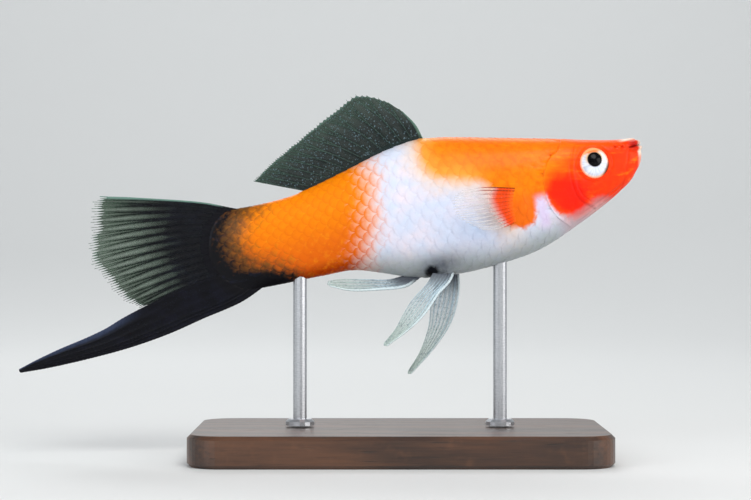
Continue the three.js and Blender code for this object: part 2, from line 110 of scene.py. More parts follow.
def through(points):
    """A smooth height over distance: a cubic whose slopes are the mean of those on either side."""
    x, y = np.array(points, float).T
    secant = np.diff(y) / np.diff(x)
    slope = np.concatenate([secant[:1], (secant[1:] + secant[:-1]) / 2, secant[-1:]])

    def height(behind):
        behind = np.asarray(behind, float)
        i = np.clip(np.searchsorted(x, behind, side="right") - 1, 0, len(x) - 2)
        step = x[i + 1] - x[i]
        t = (behind - x[i]) / step
        rise = (2 * t**3 - 3 * t**2 + 1) * y[i] + (3 * t**2 - 2 * t**3) * y[i + 1]
        return rise + step * ((t**3 - 2 * t**2 + t) * slope[i] + (t**3 - t**2) * slope[i + 1])

    return height


back_at, belly_at, flank_at, widest_at = map(through, (BACK, BELLY, FLANK, WIDEST))
boxy_above_at, boxy_below_at = through(BOXY_ABOVE), through(BOXY_BELOW)


def in_space(points):
    """Points of two or three numbers as rows of three."""
    return np.array([tuple(p) + (0,) * (3 - len(p)) for p in points], float)


def unit(vectors):
    return vectors / np.maximum(np.linalg.norm(vectors, axis=-1, keepdims=True), 1e-9)


def smooth_path(points, uniform=False, samples=900):
    """A curve through the points, as a function of the share of its length."""
    given = in_space(points)
    if uniform:
        ends = given[:1], given[-1:]
    else:
        ends = 2 * given[:1] - given[1:2], 2 * given[-1:] - given[-2:-1]
    p = np.concatenate([ends[0], given, ends[1]])
    pieces = []
    t = np.linspace(0, 1, max(samples // (len(given) - 1), 8), endpoint=False)[:, None]
    for before, start, end, after in zip(p, p[1:], p[2:], p[3:]):
        knots = [1.0] * 3 if uniform else [
            math.sqrt(np.linalg.norm(b - a)) for a, b in ((before, start), (start, end), (end, after))]
        leaving = ((start - before) / knots[0] - (end - before) / (knots[0] + knots[1])
                   + (end - start) / knots[1]) * knots[1]
        arriving = ((end - start) / knots[1] - (after - start) / (knots[1] + knots[2])
                    + (after - end) / knots[2]) * knots[1]
        pieces.append((2 * t**3 - 3 * t**2 + 1) * start + (3 * t**2 - 2 * t**3) * end
                      + (t**3 - 2 * t**2 + t) * leaving + (t**3 - t**2) * arriving)
    dense = np.concatenate(pieces + [given[-1:]])
    lengths = np.concatenate([[0], np.cumsum(np.linalg.norm(np.diff(dense, axis=0), axis=1))])
    shares = lengths / lengths[-1]
    return lambda share: np.stack([np.interp(share, shares, dense[:, k]) for k in range(3)], -1)


def smoothstep(low, high, value):
    t = np.clip((value - low) / (high - low), 0, 1)
    return t * t * (3 - 2 * t)


def hump(distance, width):
    """1 in the middle of a ridge and nearly 0 at twice its half width."""
    return np.exp(-((distance / width) ** 2))


def distance_to(behind, z, line, closed=False):
    """How far each place is from a smooth line, positive inside it where the line is closed."""
    points = np.stack([behind, z], -1).reshape(-1, 2)
    if closed:
        line = list(line) + [line[0]]
    path = smooth_path(line, samples=90)(np.linspace(0, 1, 90))[:, :2]
    nearest = np.full(len(points), np.inf)
    inside = np.zeros(len(points), bool)
    for start, end in zip(path, path[1:]):
        along = end - start
        if not along.any():
            continue
        off = points - start
        t = np.clip(off @ along / (along @ along), 0, 1)
        nearest = np.minimum(nearest, np.hypot(*(off - t[:, None] * along).T))
        if closed and start[1] != end[1]:
            level = (points[:, 1] >= start[1]) != (points[:, 1] >= end[1])
            inside ^= level & (off[:, 0] < off[:, 1] * along[0] / along[1])
    signed = np.where(inside, nearest, -nearest) if closed else nearest
    return signed.reshape(np.shape(behind))


def fish(behind, y, z):
    """Points of the fish's own frame."""
    return np.stack(np.broadcast_arrays(-np.asarray(behind, float), y, z), -1)


def to_row(points):
    """From the fish's frame in millimetres to the row's frame in metres."""
    x, y, z = np.moveaxis(np.asarray(points, float), -1, 0)
    cosine, sine = math.cos(PITCH), math.sin(PITCH)
    return (np.stack([x * cosine - z * sine, y, x * sine + z * cosine], -1) + SNOUT) * MM


def to_fish(points):
    """Back from the row's frame in metres to (behind, y, z) in millimetres."""
    x, y, z = np.moveaxis(np.asarray(points, float) / MM - SNOUT, -1, 0)
    forward = x * math.cos(PITCH) + z * math.sin(PITCH)
    return -forward, y, -x * math.sin(PITCH) + z * math.cos(PITCH)


# The bare body


def section(behind):
    """Top, bottom, widest height and half width of the body, which closes to a point at the lips."""
    closing = np.sqrt(1 - (1 - np.minimum(behind / SNOUT_ROUNDING, 1)) ** 2)
    top = MOUTH_HEIGHT + (back_at(behind) - MOUTH_HEIGHT) * closing
    bottom = MOUTH_HEIGHT + (belly_at(behind) - MOUTH_HEIGHT) * closing
    return top, bottom, bottom + (top - bottom) * widest_at(behind), flank_at(behind) * closing


def body_point(behind, turn, inset):
    """y and z of the body's surface; turn goes from 0 at the belly to pi at the back."""
    top, bottom, middle, half = section(behind)
    across, up = np.sin(turn), -np.cos(turn)
    power = 2 / np.where(up > 0, boxy_above_at(behind), boxy_below_at(behind))
    reach = np.where(up > 0, top - middle, middle - bottom)
    shrink = np.minimum(inset / np.maximum(half, 1e-3), 0.5)
    y = half * (1 - shrink) * np.abs(across) ** power
    return y, middle + np.maximum(reach - inset, reach * 0.5) * np.sign(up) * np.abs(up) ** power


def surface_y(behind, z):
    """How far the bare surface is from the middle plane."""
    top, bottom, middle, half = section(behind)
    above = z > middle
    boxy = np.where(above, boxy_above_at(behind), boxy_below_at(behind))
    share = np.minimum(np.abs(z - middle) / np.where(above, top - middle, middle - bottom), 1)
    return half * (1 - share**boxy) ** (1 / boxy)


def flesh_end_at(z):
    """How far behind the lips the skin ends at a height, just inside the solids."""
    path = smooth_path(FLESH_END, uniform=True)(np.linspace(0, 1, 300))
    return np.interp(z, path[::-1, 1], path[::-1, 0]) - 0.2


def gill_edge_at(z):
    """How far behind the lips the gill cover ends at a height."""
    behind, height = np.array(GILL_EDGE[::-1], float).T
    return np.interp(z, height, behind)


def body_grid(rings, around, inset, head_step):
    """The bare skin as rings of points at equal distances round the body, and each ring's distance."""
    nose = SNOUT_ROUNDING * (1 - np.cos(np.radians(np.linspace(4, 90, 16))))
    head = np.arange(1.4, HEAD_LENGTH, head_step)
    end = [70.7, 70.9, 71.08, 71.19, 71.27, FLESH_LENGTH]
    count = max(rings - len(nose) - len(head) - len(end), 20)
    flesh = np.concatenate([nose, head, np.linspace(HEAD_LENGTH, 70.5, count), end])
    half = around // 2
    dense = np.linspace(0, math.pi, 400)
    turns = []
    for at in flesh:
        y, z = body_point(np.full(len(dense), at), dense, inset)
        lengths = np.concatenate([[0], np.cumsum(np.hypot(np.diff(y), np.diff(z)))])
        turns.append(np.interp(np.linspace(0, lengths[-1], half + 1), lengths, dense))
    turns = np.array(turns)
    ring = flesh[:, None]
    behind = np.repeat(ring, half + 1, 1)
    for _ in range(4):
        z = body_point(behind, turns, inset)[1]
        stretch = (flesh_end_at(z) - BENT_FROM) / (FLESH_LENGTH - BENT_FROM)
        behind = np.where(ring > BENT_FROM, BENT_FROM + (ring - BENT_FROM) * stretch, behind)
    y, z = body_point(behind, turns, inset)
    left = flesh_end_at(z) - behind
    y *= np.where(ring > BENT_FROM, 0.2 + 0.8 * smoothstep(-0.5, 8, left), 1)
    y *= np.sqrt(np.clip(1 - (1 - np.clip(left / 0.6, 0, 1)) ** 2, 0.02, 1))
    other_side = slice(half - 1, 0, -1)
    return flesh, [np.concatenate([part, sign * part[:, other_side]], 1)
                   for part, sign in ((behind, 1), (y, -1), (z, 1))]


def grid_normals(points):
    """Outward normals of a grid that is closed round its second axis."""
    return unit(np.cross(np.gradient(points, axis=0), np.roll(points, -1, 1) - np.roll(points, 1, 1)))


def skin_relief(behind, y, z, size):
    """How far the finished skin stands above the bare body, and how deep in a crease each place lies."""
    over = z - np.interp(behind, [0, 2], [0.36, 0.3])
    near_lips = smoothstep(2.5, 1.3, behind)
    mouth = hump(over, 0.1) * smoothstep(2.35, 1.75, behind)
    lips = 0.2 * hump(over - 0.5, 0.32) + 0.22 * hump(over + 0.45, 0.3)
    lips -= 0.1 * hump(over - 1.0, 0.16) + 0.09 * hump(over + 0.95, 0.18)
    jaw = hump(distance_to(behind, z, JAW_FOLD), 0.17)
    eye = np.hypot(behind - EYE_PLACE[0], z - EYE_PLACE[1])
    socket = smoothstep(2.34, 2.12, eye)
    rim = hump(eye - 2.5, 0.22)
    round_eye = hump(eye - 3.0, 0.16)
    nostril = np.min([np.hypot(behind - a, z - b) for a, b in NOSTRILS], axis=0)
    gill = distance_to(behind, z, GILL_EDGE)
    ahead = np.where(behind < gill_edge_at(z), gill, -gill)
    side = smoothstep(0.12, 0.55, np.abs(y) / np.maximum(flank_at(behind), 0.1))
    cover = smoothstep(9, 15.5, behind) * smoothstep(-0.05, 0.22, ahead) * side
    slit = hump(ahead + 0.18, 0.2) * side
    fold_gap = distance_to(behind, z, CHEEK_FOLD)
    cheek = hump(fold_gap, 0.3)
    cheek_groove = hump(fold_gap - 0.42, 0.2) * (behind > np.interp(z, [-7.6, -3.4, 2], [9.4, 12, 10.6]))
    below = smoothstep(-0.35, -0.8, (z - section(behind)[2]) / 6) * smoothstep(3.2, 5, behind)
    throat = np.zeros_like(behind)
    for fold in range(3):
        place = 0.35 + 0.1 * (behind - 4) + 0.75 * fold
        throat += hump(np.abs(y) - place, 0.15) * smoothstep(15.5 - fold, 12 - fold, behind)
    throat *= below
    pad = hump((behind - 21.0) / 1.15, 1) * hump((z + 4.6) / 2.5, 1)
    keel = hump(y, 0.55) * (z > 0) * smoothstep(32.8, 34, behind) * smoothstep(55.6, 54, behind)
    vent = hump(np.hypot(behind - 38.1, y), 0.75) * (z < 0)
    hip = hump(np.hypot((behind - 34.4) / 2.2, (np.abs(y) - 1.9) / 1.0), 1) * smoothstep(-11, -12, z)
    lateral = hump(z - np.interp(behind, [17, 40, 70], [0.4, -0.6, -1.2]), 0.28) * smoothstep(17, 22, behind)
    rise = size["lips"] * lips / 0.22 * near_lips - size["mouth"] * mouth
    rise -= 0.04 * jaw + 0.95 * socket - 0.17 * rim + 0.05 * round_eye
    rise -= 0.3 * hump(nostril, 0.2) - 0.07 * hump(nostril - 0.4, 0.13)
    rise += size["gill_cover"] * cover - 0.2 * slit + 0.07 * cheek - 0.05 * cheek_groove - 0.08 * throat
    rise += 0.45 * pad + 0.2 * keel + 0.22 * vent + 0.5 * hip - 0.015 * lateral
    # crease also sets where painted shade darkens and reddens the skin: mouth, jaw fold, gill slit, cheek
    # groove, throat folds, nostrils and round the eye.
    crease = np.clip(mouth + 0.2 * jaw + 0.9 * slit + 0.25 * cheek_groove + 0.25 * throat
                     + hump(nostril, 0.2) + 0.4 * hump(eye - 2.2, 0.13), 0, 1)
    return rise, crease


def finished_skin(look, rings, around, head_step):
    """The skin with its relief: each ring's distance, (behind, y, z), the points and their creases."""
    flesh, bare = body_grid(rings, around, look.inset / MM, head_step)
    size = {name: getattr(look, name) / MM for name in ("lips", "mouth", "gill_cover")}
    rise, crease = skin_relief(*bare, size)
    points = fish(*bare)
    return flesh, bare, points + grid_normals(points) * rise[..., None], crease


def oval(behind, z, centre, size):
    """A soft oval spot on the side, 1 in its middle."""
    return hump(np.hypot((behind - centre[0]) / size[0], (z - centre[1]) / size[1]), 1.0)


def markings(behind, y, z):
    """The markings' fields: signed distances in millimetres to their edges, or shares from 0 to 1."""
    cheek = 1 - np.hypot((behind - 13.6 - 0.25 * (z + 4.5)) / 4.3, (z + 4.6) / 3.9)
    lip = smoothstep(0.85, 0.4, behind - 0.17 * np.maximum(0.3 - z, 0)) * smoothstep(-3.6, -2.9, z)
    lip = lip * (1 - 0.6 * smoothstep(-0.9, -1.7, z) * smoothstep(0.2, 0.9, np.abs(y)))
    upper_lip = smoothstep(1.25, 1.6, z) * smoothstep(3.9, 2.2, behind)
    # shaded_below and belly: painted shade that greys the underside downwards, partly the belly's own grey.
    shaded_below = np.interp(behind, [12, 16, 26, 36, 45], [-7.3, -7.8, -9.6, -8.4, -6.6])
    return {
        "gold": distance_to(behind, z, GOLD_OUTLINE, closed=True),
        "orange": distance_to(behind, z, ORANGE_OUTLINE, closed=True),
        "soot": distance_to(behind, z, BLACK_OUTLINE, closed=True),
        "cheek": cheek - 2 * smoothstep(-0.3, 0.5, behind - gill_edge_at(z)),
        "lip": np.clip(lip + upper_lip, 0, 1),
        # gape: dark red at the mouth's corner, partly its own red and partly painted shade in the mouth's
        # slit.
        "gape": hump(np.hypot((behind - 1.3) / 1.2, z - 0.5), 0.8),
        "vent": oval(behind, z, (37.1, -12.0), (1.25, 1.15)),
        # A darker grey-blue oval on the belly just ahead of the vent.
        "smudge": oval(behind, z, (35.6, -11.5), (3.4, 1.9)),
        # A pale blue oval low on the white flank, painted iridescent sheen.
        "ice": oval(behind, z, (27.5, -6.6), (6.0, 3.4)),
        "belly": smoothstep(-1.2, 3.6, shaded_below - z) * smoothstep(13, 17, behind),
        "throat": smoothstep(16.5, 12.5, behind) * smoothstep(-4.0, -6.0, z),
        "behind": np.asarray(behind, float),
        "height": np.asarray(z, float),
    }


# Meshes


def linked(name, mesh):
    made = bpy.data.objects.new(name, mesh)
    bpy.context.scene.collection.objects.link(made)
    return made


def store(mesh, fields):
    """Gives each point of a mesh its number or vector of every field."""
    for name, values in fields.items():
        values = np.asarray(values, np.float32)
        is_vector = values.ndim > 1 and values.shape[-1] == 3
        layer = mesh.attributes.get(name) or mesh.attributes.new(
            name, "FLOAT_VECTOR" if is_vector else "FLOAT", "POINT")
        layer.data.foreach_set("vector" if is_vector else "value", values.ravel())


def mesh_from(name, points, faces, fields=None):
    """A smooth-shaded mesh. faces is an array, or several that differ in their number of corners."""
    mesh = bpy.data.meshes.new(name)
    faces = faces if isinstance(faces, tuple) else (faces,)
    every_face = [face for part in faces for face in part.tolist()]
    mesh.from_pydata(np.asarray(points).reshape(-1, 3).tolist(), [], every_face)
    store(mesh, fields or {})
    mesh.shade_smooth()
    return mesh


def quads(rows, columns, wrap=False):
    """The faces of a grid of points, each as four indices."""
    grid = np.arange(rows * columns).reshape(rows, columns)
    if wrap:
        grid = np.concatenate([grid, grid[:, :1]], 1)
    return np.stack([grid[:-1, :-1], grid[:-1, 1:], grid[1:, 1:], grid[1:, :-1]], -1).reshape(-1, 4)


def fan(ring, tip):
    """Triangles that close a ring of points at its tip."""
    return np.stack([np.full(len(ring), tip), np.roll(ring, -1), ring], -1)


def faces_outward(points, shell):
    """Whether a closed mesh's volume, taken over its quads, is positive."""
    a, b, c, d = (points[shell[:, k]] for k in range(4))
    return (np.sum(a * np.cross(b, c)) + np.sum(a * np.cross(c, d))) > 0


def thin_shell(front, back):
    """Points and outward faces of a closed sheet between two equal grids of points."""
    rows, columns = front.shape[:2]
    total = rows * columns
    grid = np.arange(total).reshape(rows, columns)
    edges = (grid[0, :-1], grid[0, 1:]), (grid[-1, 1:], grid[-1, :-1]), \
        (grid[1:, 0], grid[:-1, 0]), (grid[:-1, -1], grid[1:, -1])
    sides = [np.stack([a, total + a, total + b, b], -1) for a, b in edges]
    faces = np.concatenate([quads(rows, columns), total + quads(rows, columns)[:, ::-1], *sides])
    points = np.concatenate([front.reshape(-1, 3), back.reshape(-1, 3)])
    return points, faces if faces_outward(points, faces) else faces[:, ::-1]


def finished(piece, slot, *nodes):
    """Hands a piece to the frame: it rides on the one body and stands for the named nodes."""
    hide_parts(*nodes)
    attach(piece, "root")
    return piece


# Shader and geometry trees


class Wire:
    """A node's output. Arithmetic with it adds Math nodes to its tree."""

    def __init__(self, tree, socket):
        self.tree, self.socket = tree, socket

    def __add__(self, other):
        return self.tree.math("ADD", self, other)

    def __sub__(self, other):
        return self.tree.math("SUBTRACT", self, other)

    def __rsub__(self, other):
        return self.tree.math("SUBTRACT", other, self)

    def __mul__(self, other):
        return self.tree.math("MULTIPLY", self, other)

    def __truediv__(self, other):
        return self.tree.math("DIVIDE", self, other)

    __radd__, __rmul__ = __add__, __mul__

    def least(self, other):
        return self.tree.math("MINIMUM", self, other)

    def most(self, other):
        return self.tree.math("MAXIMUM", self, other)


class Tree:
    """A node tree that is being wired."""

    def __init__(self, nodes):
        self.nodes, self.links = nodes.nodes, nodes.links

    def node(self, kind, sockets=None, out=0, **settings):
        """Adds a node, sets what it has to be set to first, then feeds its sockets by name or number."""
        made = self.nodes.new(kind)
        for name, value in settings.items():
            setattr(made, name, value)
        for name, value in (sockets or {}).items():
            if isinstance(value, Wire):
                self.links.new(value.socket, made.inputs[name])
            else:
                made.inputs[name].default_value = value
        return Wire(self, made.outputs[out]) if made.outputs else made

    def math(self, operation, *values):
        return self.node("ShaderNodeMath", dict(enumerate(values)), operation=operation)

    def vector(self, operation, first, second):
        second_socket = "Scale" if operation == "SCALE" else 1
        return self.node("ShaderNodeVectorMath", {0: first, second_socket: second}, operation=operation)

    def attribute(self, name, out="Fac"):
        return self.node("ShaderNodeAttribute", out=out, attribute_name=name)

    def mix(self, share, under, over):
        """A colour over another by a share."""
        under, over = (c if isinstance(c, Wire) else (*c[:3], 1) for c in (under, over))
        return self.node("ShaderNodeMix", {0: share, 6: under, 7: over}, 2, data_type="RGBA",
                         clamp_factor=True)

    def layers(self, colour, *coats):
        """A colour under coats that are laid on in order, each given as its share and its colour."""
        for share, over in coats:
            colour = self.mix(share, colour, over)
        return colour

    def between(self, low, high, value):
        """0 at low and 1 at high, with a soft change between them; low may be the greater."""
        return self.node("ShaderNodeMapRange", {0: value, 1: low, 2: high, 3: 0.0, 4: 1.0},
                         interpolation_type="SMOOTHSTEP")

    def place(self, stretch=(1, 1, 1)):
        """The place on the object in millimetres, stretched along each axis."""
        here = self.node("ShaderNodeTexCoord", out="Object")
        return self.node("ShaderNodeMapping", {"Vector": here, "Scale": [s / MM for s in stretch]})

    def noise(self, scale, detail=3.0, roughness=0.55, stretch=(1, 1, 1), offset=0.0):
        """Cloudy noise from 0 to 1, with scale features to the millimetre."""
        where = self.vector("ADD", self.place(stretch), (offset,) * 3)
        return self.node("ShaderNodeTexNoise", {"Vector": where, "Scale": scale, "Detail": detail,
                                                "Roughness": roughness})

    def cells(self, scale, stretch=(1, 1, 1), feature="F1"):
        return self.node("ShaderNodeTexVoronoi", {"Vector": self.place(stretch), "Scale": scale},
                         feature=feature)

    def bump(self, height, strength, depth):
        """A bumpy normal; depth is in millimetres."""
        return self.node("ShaderNodeBump", {"Height": height, "Strength": strength, "Distance": depth * MM})


class Group(Tree):
    """A geometry tree with named inputs, which works on a carrier mesh."""

    def __init__(self, name, sockets):
        self.group = bpy.data.node_groups.new(name, "GeometryNodeTree")
        super().__init__(self.group)
        new_socket = self.group.interface.new_socket
        new_socket("Geometry", in_out="OUTPUT", socket_type="NodeSocketGeometry")
        for socket, kind in {"Geometry": "Geometry", **sockets, "Material": "Material"}.items():
            new_socket(socket, in_out="INPUT", socket_type="NodeSocket" + kind)
        self.given = self.node("NodeGroupInput").socket.node.outputs

    def input(self, name):
        return Wire(self, self.given[name])

    def named(self, name, kind="FLOAT_VECTOR"):
        return self.node("GeometryNodeInputNamedAttribute", {"Name": name}, data_type=kind)

    def close(self, geometry):
        """Ends the tree with the geometry, shaded smooth, made real and given the material."""
        smooth = self.node("GeometryNodeSetShadeSmooth", {0: geometry})
        real = self.node("GeometryNodeRealizeInstances", {0: smooth})
        dressed = self.node("GeometryNodeSetMaterial", {"Geometry": real, "Material": self.input("Material")})
        self.node("NodeGroupOutput", {0: dressed})
        return self.group


def srgb(red, green, blue):
    """A colour given as it looks on screen, from 0 to 255, as Blender's linear numbers."""
    return tuple(((c / 255 + 0.055) / 1.055) ** 2.4 if c > 10 else c / 255 / 12.92
                 for c in (red, green, blue))


def material(name, feeds):
    """A Principled material. feeds(tree) returns the values and wires of its sockets."""
    made = bpy.data.materials.get(name)
    if made:
        return made
    made = bpy.data.materials.new(name)
    made.use_nodes = True
    made.node_tree.nodes.clear()
    tree = Tree(made.node_tree)
    tree.node("ShaderNodeOutputMaterial", {"Surface": tree.node("ShaderNodeBsdfPrincipled", feeds(tree))})
    return made


def skin_feeds(tree):
    """Gold front, white waist, orange tail and sooty tail base, with the scales' own edges."""
    look = bpy.context.scene.swordtail_skin
    behind, height, rim, gold, orange, soot, throat, crease = map(
        tree.attribute, ("behind", "height", "rim", "gold", "orange", "soot", "throat", "crease"))
    fine, broad = tree.noise(1.5, 4), tree.noise(0.32, 3, offset=7.0)
    streaks = tree.noise(0.9, 4, stretch=(0.22, 1, 1.3), offset=3.0)
    mottle = tree.noise(1.05, 3, offset=19.0)
    wobble = (fine - 0.5) * 1.1 + (broad - 0.5) * 1.3

    white = tree.layers(
        srgb(220, 229, 250),
        # Painted pearly sheen: pink clouds over the white, and a paler blue towards its top.
        (tree.between(0.25, 0.78, broad), srgb(246, 233, 243)),
        (tree.between(4.0, 7.5, height) * 0.6, srgb(224, 234, 252)),
        (tree.between(0.55, 0.75, fine) * 0.35, srgb(205, 208, 222)),
        # Painted bluish iridescent sheen on the lower white flank.
        (tree.attribute("ice") * tree.between(0.2, 0.6, broad) * 0.75, srgb(184, 212, 245)),
        # Painted shade, partly the belly's own grey: the underside greys downwards.
        (tree.attribute("belly") * 0.95, look.belly),
        (rim * 0.26, srgb(196, 196, 218)))

    nape = tree.between(20, 33, behind - height * 0.6 + (broad - 0.5) * 6)
    snout = tree.between(18.0, 9.5, behind + (height + 1) * 0.35 + (streaks - 0.5) * 5)
    cheek = tree.between(-0.22, 0.55, tree.attribute("cheek") + (mottle - 0.5) * 0.5 + (broad - 0.5) * 0.3)
    front = tree.layers(
        look.gold,
        (nape * 0.75, srgb(255, 178, 26)),
        (snout, look.snout),
        (tree.between(0.2, 2.4, height) * tree.between(1.2, 3.5, behind) * 0.45, srgb(255, 116, 8)),
        (tree.between(0.52, 0.74, streaks) * 0.35, srgb(255, 160, 16)),
        (tree.between(0.56, 0.36, mottle) * 0.25, srgb(236, 78, 2)),
        (tree.between(-2.0, -4.5, height) * tree.between(16.5, 18.0, behind) * 0.9, srgb(250, 108, 12)),
        (cheek * 0.95, look.cheek),
        (tree.between(3.4, 0.2, gold) * tree.between(24, 29, behind) * 0.6, srgb(254, 190, 84)),
        (rim * tree.between(13, 22, behind) * 0.34, srgb(232, 98, 4)))

    stern = tree.layers(
        look.orange,
        # Painted shade: the orange darkens down the tail's lower side to a dark red-brown at its bottom edge.
        (tree.between(2.5, -6.5, height + (broad - 0.5) * 4), srgb(236, 104, 2)),
        (tree.between(-6.0, -8.4, height) * 0.9, srgb(150, 32, 2)),
        (tree.between(0.52, 0.7, mottle) * 0.35, srgb(255, 160, 20)),
        (rim * 0.42, srgb(226, 92, 2)))

    peach = tree.between(-4.4, 0.4, gold + wobble * 1.5) * tree.between(20.0, 24.0, behind)
    soft = tree.between(22.0, 27.0, behind) * 0.9
    gold_share = tree.between(-0.5 - soft, 0.5 + soft * 0.6, gold + wobble * 0.6 + (rim - 0.35) * 0.35)
    net = orange + (fine - 0.5) * 2.6 + (broad - 0.5) * 3 + (rim - 0.35) * 2.7
    lilac = tree.between(1.5, 0.2, tree.math("ABSOLUTE", behind - 17.9) + (fine - 0.5) * 0.8)
    lilac = lilac * tree.between(-3.2, -5.0, height) * tree.between(-10.5, -7.5, height + (broad - 0.5) * 3)
    ash = tree.between(-3.7, 0.9, soot + (mottle - 0.5) * 4 + (rim - 0.5) * 1.0)
    low_edge = tree.between(-4.6, -7.2, height) * 2.4
    dark = tree.between(0.2, 3.2, soot + low_edge + (fine - 0.5) * 4.4 + (mottle - 0.5) * 2.4
                        + (rim - 0.5) * 1.2)
    colour = tree.layers(
        white,
        (peach * 0.6, srgb(252, 208, 160)),
        (tree.between(-3.5, 1.5, orange + wobble * 1.2) * 0.75, srgb(250, 206, 186)),
        (throat * 0.85, srgb(206, 164, 160)),
        (throat * tree.between(-2.4, 0.2, gold + (fine - 0.5)) * 0.85, srgb(212, 84, 80)),
        (throat * tree.between(-8.4, -9.6, height) * 0.8, srgb(188, 172, 182)),
        (gold_share, front),
        (tree.between(-2.3, 4.1, net), stern),
        (lilac * 0.75, srgb(222, 200, 236)),
        (ash * 0.93, tree.mix(tree.between(0.4, 0.6, fine), srgb(62, 50, 26), srgb(106, 66, 24))),
        (dark, tree.mix(tree.between(0.55, 0.72, streaks) * 0.6, look.black, srgb(30, 36, 56))),
        (tree.attribute("lip") * tree.between(0.0, 0.5, fine + 0.2) * 0.95, srgb(244, 222, 202)),
        # Dark red at the mouth's corner, partly its own red and partly painted shade in the slit.
        (tree.attribute("gape") * 0.95, srgb(160, 10, 8)),
        # A darker grey-blue patch on the belly just ahead of the vent.
        (tree.attribute("smudge") * (0.55 + mottle * 0.5), srgb(58, 62, 76)),
        (tree.between(0.26, 0.66, tree.attribute("vent")), srgb(9, 11, 18)))
    # Painted shade: the colour is darkened and reddened by crease in the folds and hollows.
    shade = tree.vector("MULTIPLY", colour, (0.42, 0.16, 0.12))

    plates = tree.cells(1.15, (0.55, 1, 1), "DISTANCE_TO_EDGE")
    pits = tree.between(0.0, 0.16, plates) * tree.between(20, 12, behind)
    relief = fine * 0.5 + tree.noise(6.0, 2) * 0.35 + pits * 0.35 + streaks * 0.3
    return {
        "Base Color": tree.mix(crease * 0.8, colour, shade),
        "Roughness": 0.42 + (fine - 0.5) * 0.22 + crease * 0.15 + dark * 0.06,
        "Normal": tree.bump(relief, 0.5, 0.05),
        "Coat Weight": 0.06,
        "Coat Roughness": 0.16,
        "Specular IOR Level": 0.1,
        "Subsurface Weight": 0.12,
        "Subsurface Radius": (0.0012, 0.0006, 0.0004),
        "Subsurface Scale": 1.0,
    }


def eye_feeds(tree):
    """A black pupil with a thin gold ring on a white, finely rayed iris, with painted shade at its lower
    front where it meets the socket.
    """
    look = bpy.context.scene.swordtail_eyes
    pupil, ball, up = tree.attribute("pupil_gap"), tree.attribute("ball"), tree.attribute("up")
    rays = tree.node("ShaderNodeTexNoise", {"Vector": tree.attribute("spokes", "Vector"), "Scale": 5.0,
                                            "Detail": 4.0})
    cloud = tree.noise(1.8, 3)
    colour = tree.layers(
        look.iris,
        (tree.between(0.38, 0.66, rays), srgb(198, 208, 226)),
        (tree.between(0.5, 0.75, cloud) * 0.35, srgb(250, 244, 240)),
        (tree.between(0.55, 0.0, pupil) * tree.between(-0.6, 1.2, up) * 0.75, srgb(236, 176, 70)),
        (tree.between(1.4, 1.95, up + (cloud - 0.5) * 0.5) * 0.95, srgb(250, 116, 16)),
        (tree.between(1.9, 2.25, ball) * 0.8, srgb(250, 176, 120)),
        # Painted shade where the eyeball meets the socket, towards the jaw.
        (tree.between(1.7, 2.3, tree.attribute("toward_jaw")) * 0.9, srgb(60, 20, 14)),
        (tree.between(0.2, 0.03, pupil) * 0.45, srgb(90, 76, 70)),
        (tree.between(0.035, -0.035, pupil), look.black))
    return {
        "Base Color": colour,
        "Roughness": 0.22 + tree.between(-0.05, 0.1, pupil) * 0.2,
        "Normal": tree.bump(rays, 0.25, 0.03),
        "Coat Weight": 0.1,
        "Coat Roughness": 0.05,
        "Specular IOR Level": 0.06,
    }


class FinSpot:
    """A place on a fin and the noises there, which the fins' materials share."""

    def __init__(self, tree, detail, clouds):
        self.between = tree.between
        self.along, self.across, self.behind = map(tree.attribute, ("along", "across", "behind"))
        self.fine, self.broad = tree.noise(2.6, detail), tree.noise(clouds, 3, offset=5.0)
        self.front = tree.between(0.03, 0.005, self.across)


def blend(ends, share):
    """A number between two ends."""
    return ends[0] + (ends[1] - ends[0]) * share


def membrane_feeds(look):
    """The skin between the rays of one kind of fin, from its row of LOOKS."""

    def feeds(tree):
        on = FinSpot(tree, 4, 0.5)
        gap, along, fine, broad = tree.attribute("gap"), on.along, on.fine, on.broad
        on.behind = on.behind + (gap - 0.5) * look["streaks"]
        share = look["clears"](on)
        specks = tree.between(0.34, 0.2, tree.cells(2.6)) * look["specks"] * tree.between(0.2, 0.7, fine)
        # On the clear fins flesh_colour is painted shade.
        *flesh_ends, flesh_colour = look["flesh"]
        flesh = tree.between(*flesh_ends, along)
        edge = tree.between(0.93, 1.0, along)
        body = tree.mix(tree.between(0.4, 0.7, broad), look["root"], look["root_shade"])
        tint = tree.mix(tree.between(0.45, 0.7, fine) * 0.5, look["tip"], look["tip_shade"])
        colour = tree.layers(body, (share, tint), (specks, look["speck"]), (flesh, flesh_colour),
                             ((edge * 0.6).most(on.front * look["front_edge"]), look["rim"]))
        solid = blend(look["alpha"], share) + edge * 0.1 + specks * 0.3 - gap * look["thin"]
        solid = solid + (broad - 0.5) * 0.14 + flesh * 0.6
        return {
            "Base Color": colour,
            "Alpha": solid.most(0.04).least(1.0),
            "Roughness": 0.34 + fine * 0.2,
            "Normal": tree.bump(fine, 0.35, 0.03),
            "Coat Weight": 0.04,
            "Coat Roughness": 0.25,
            "Specular IOR Level": 0.1,
        }

    return feeds


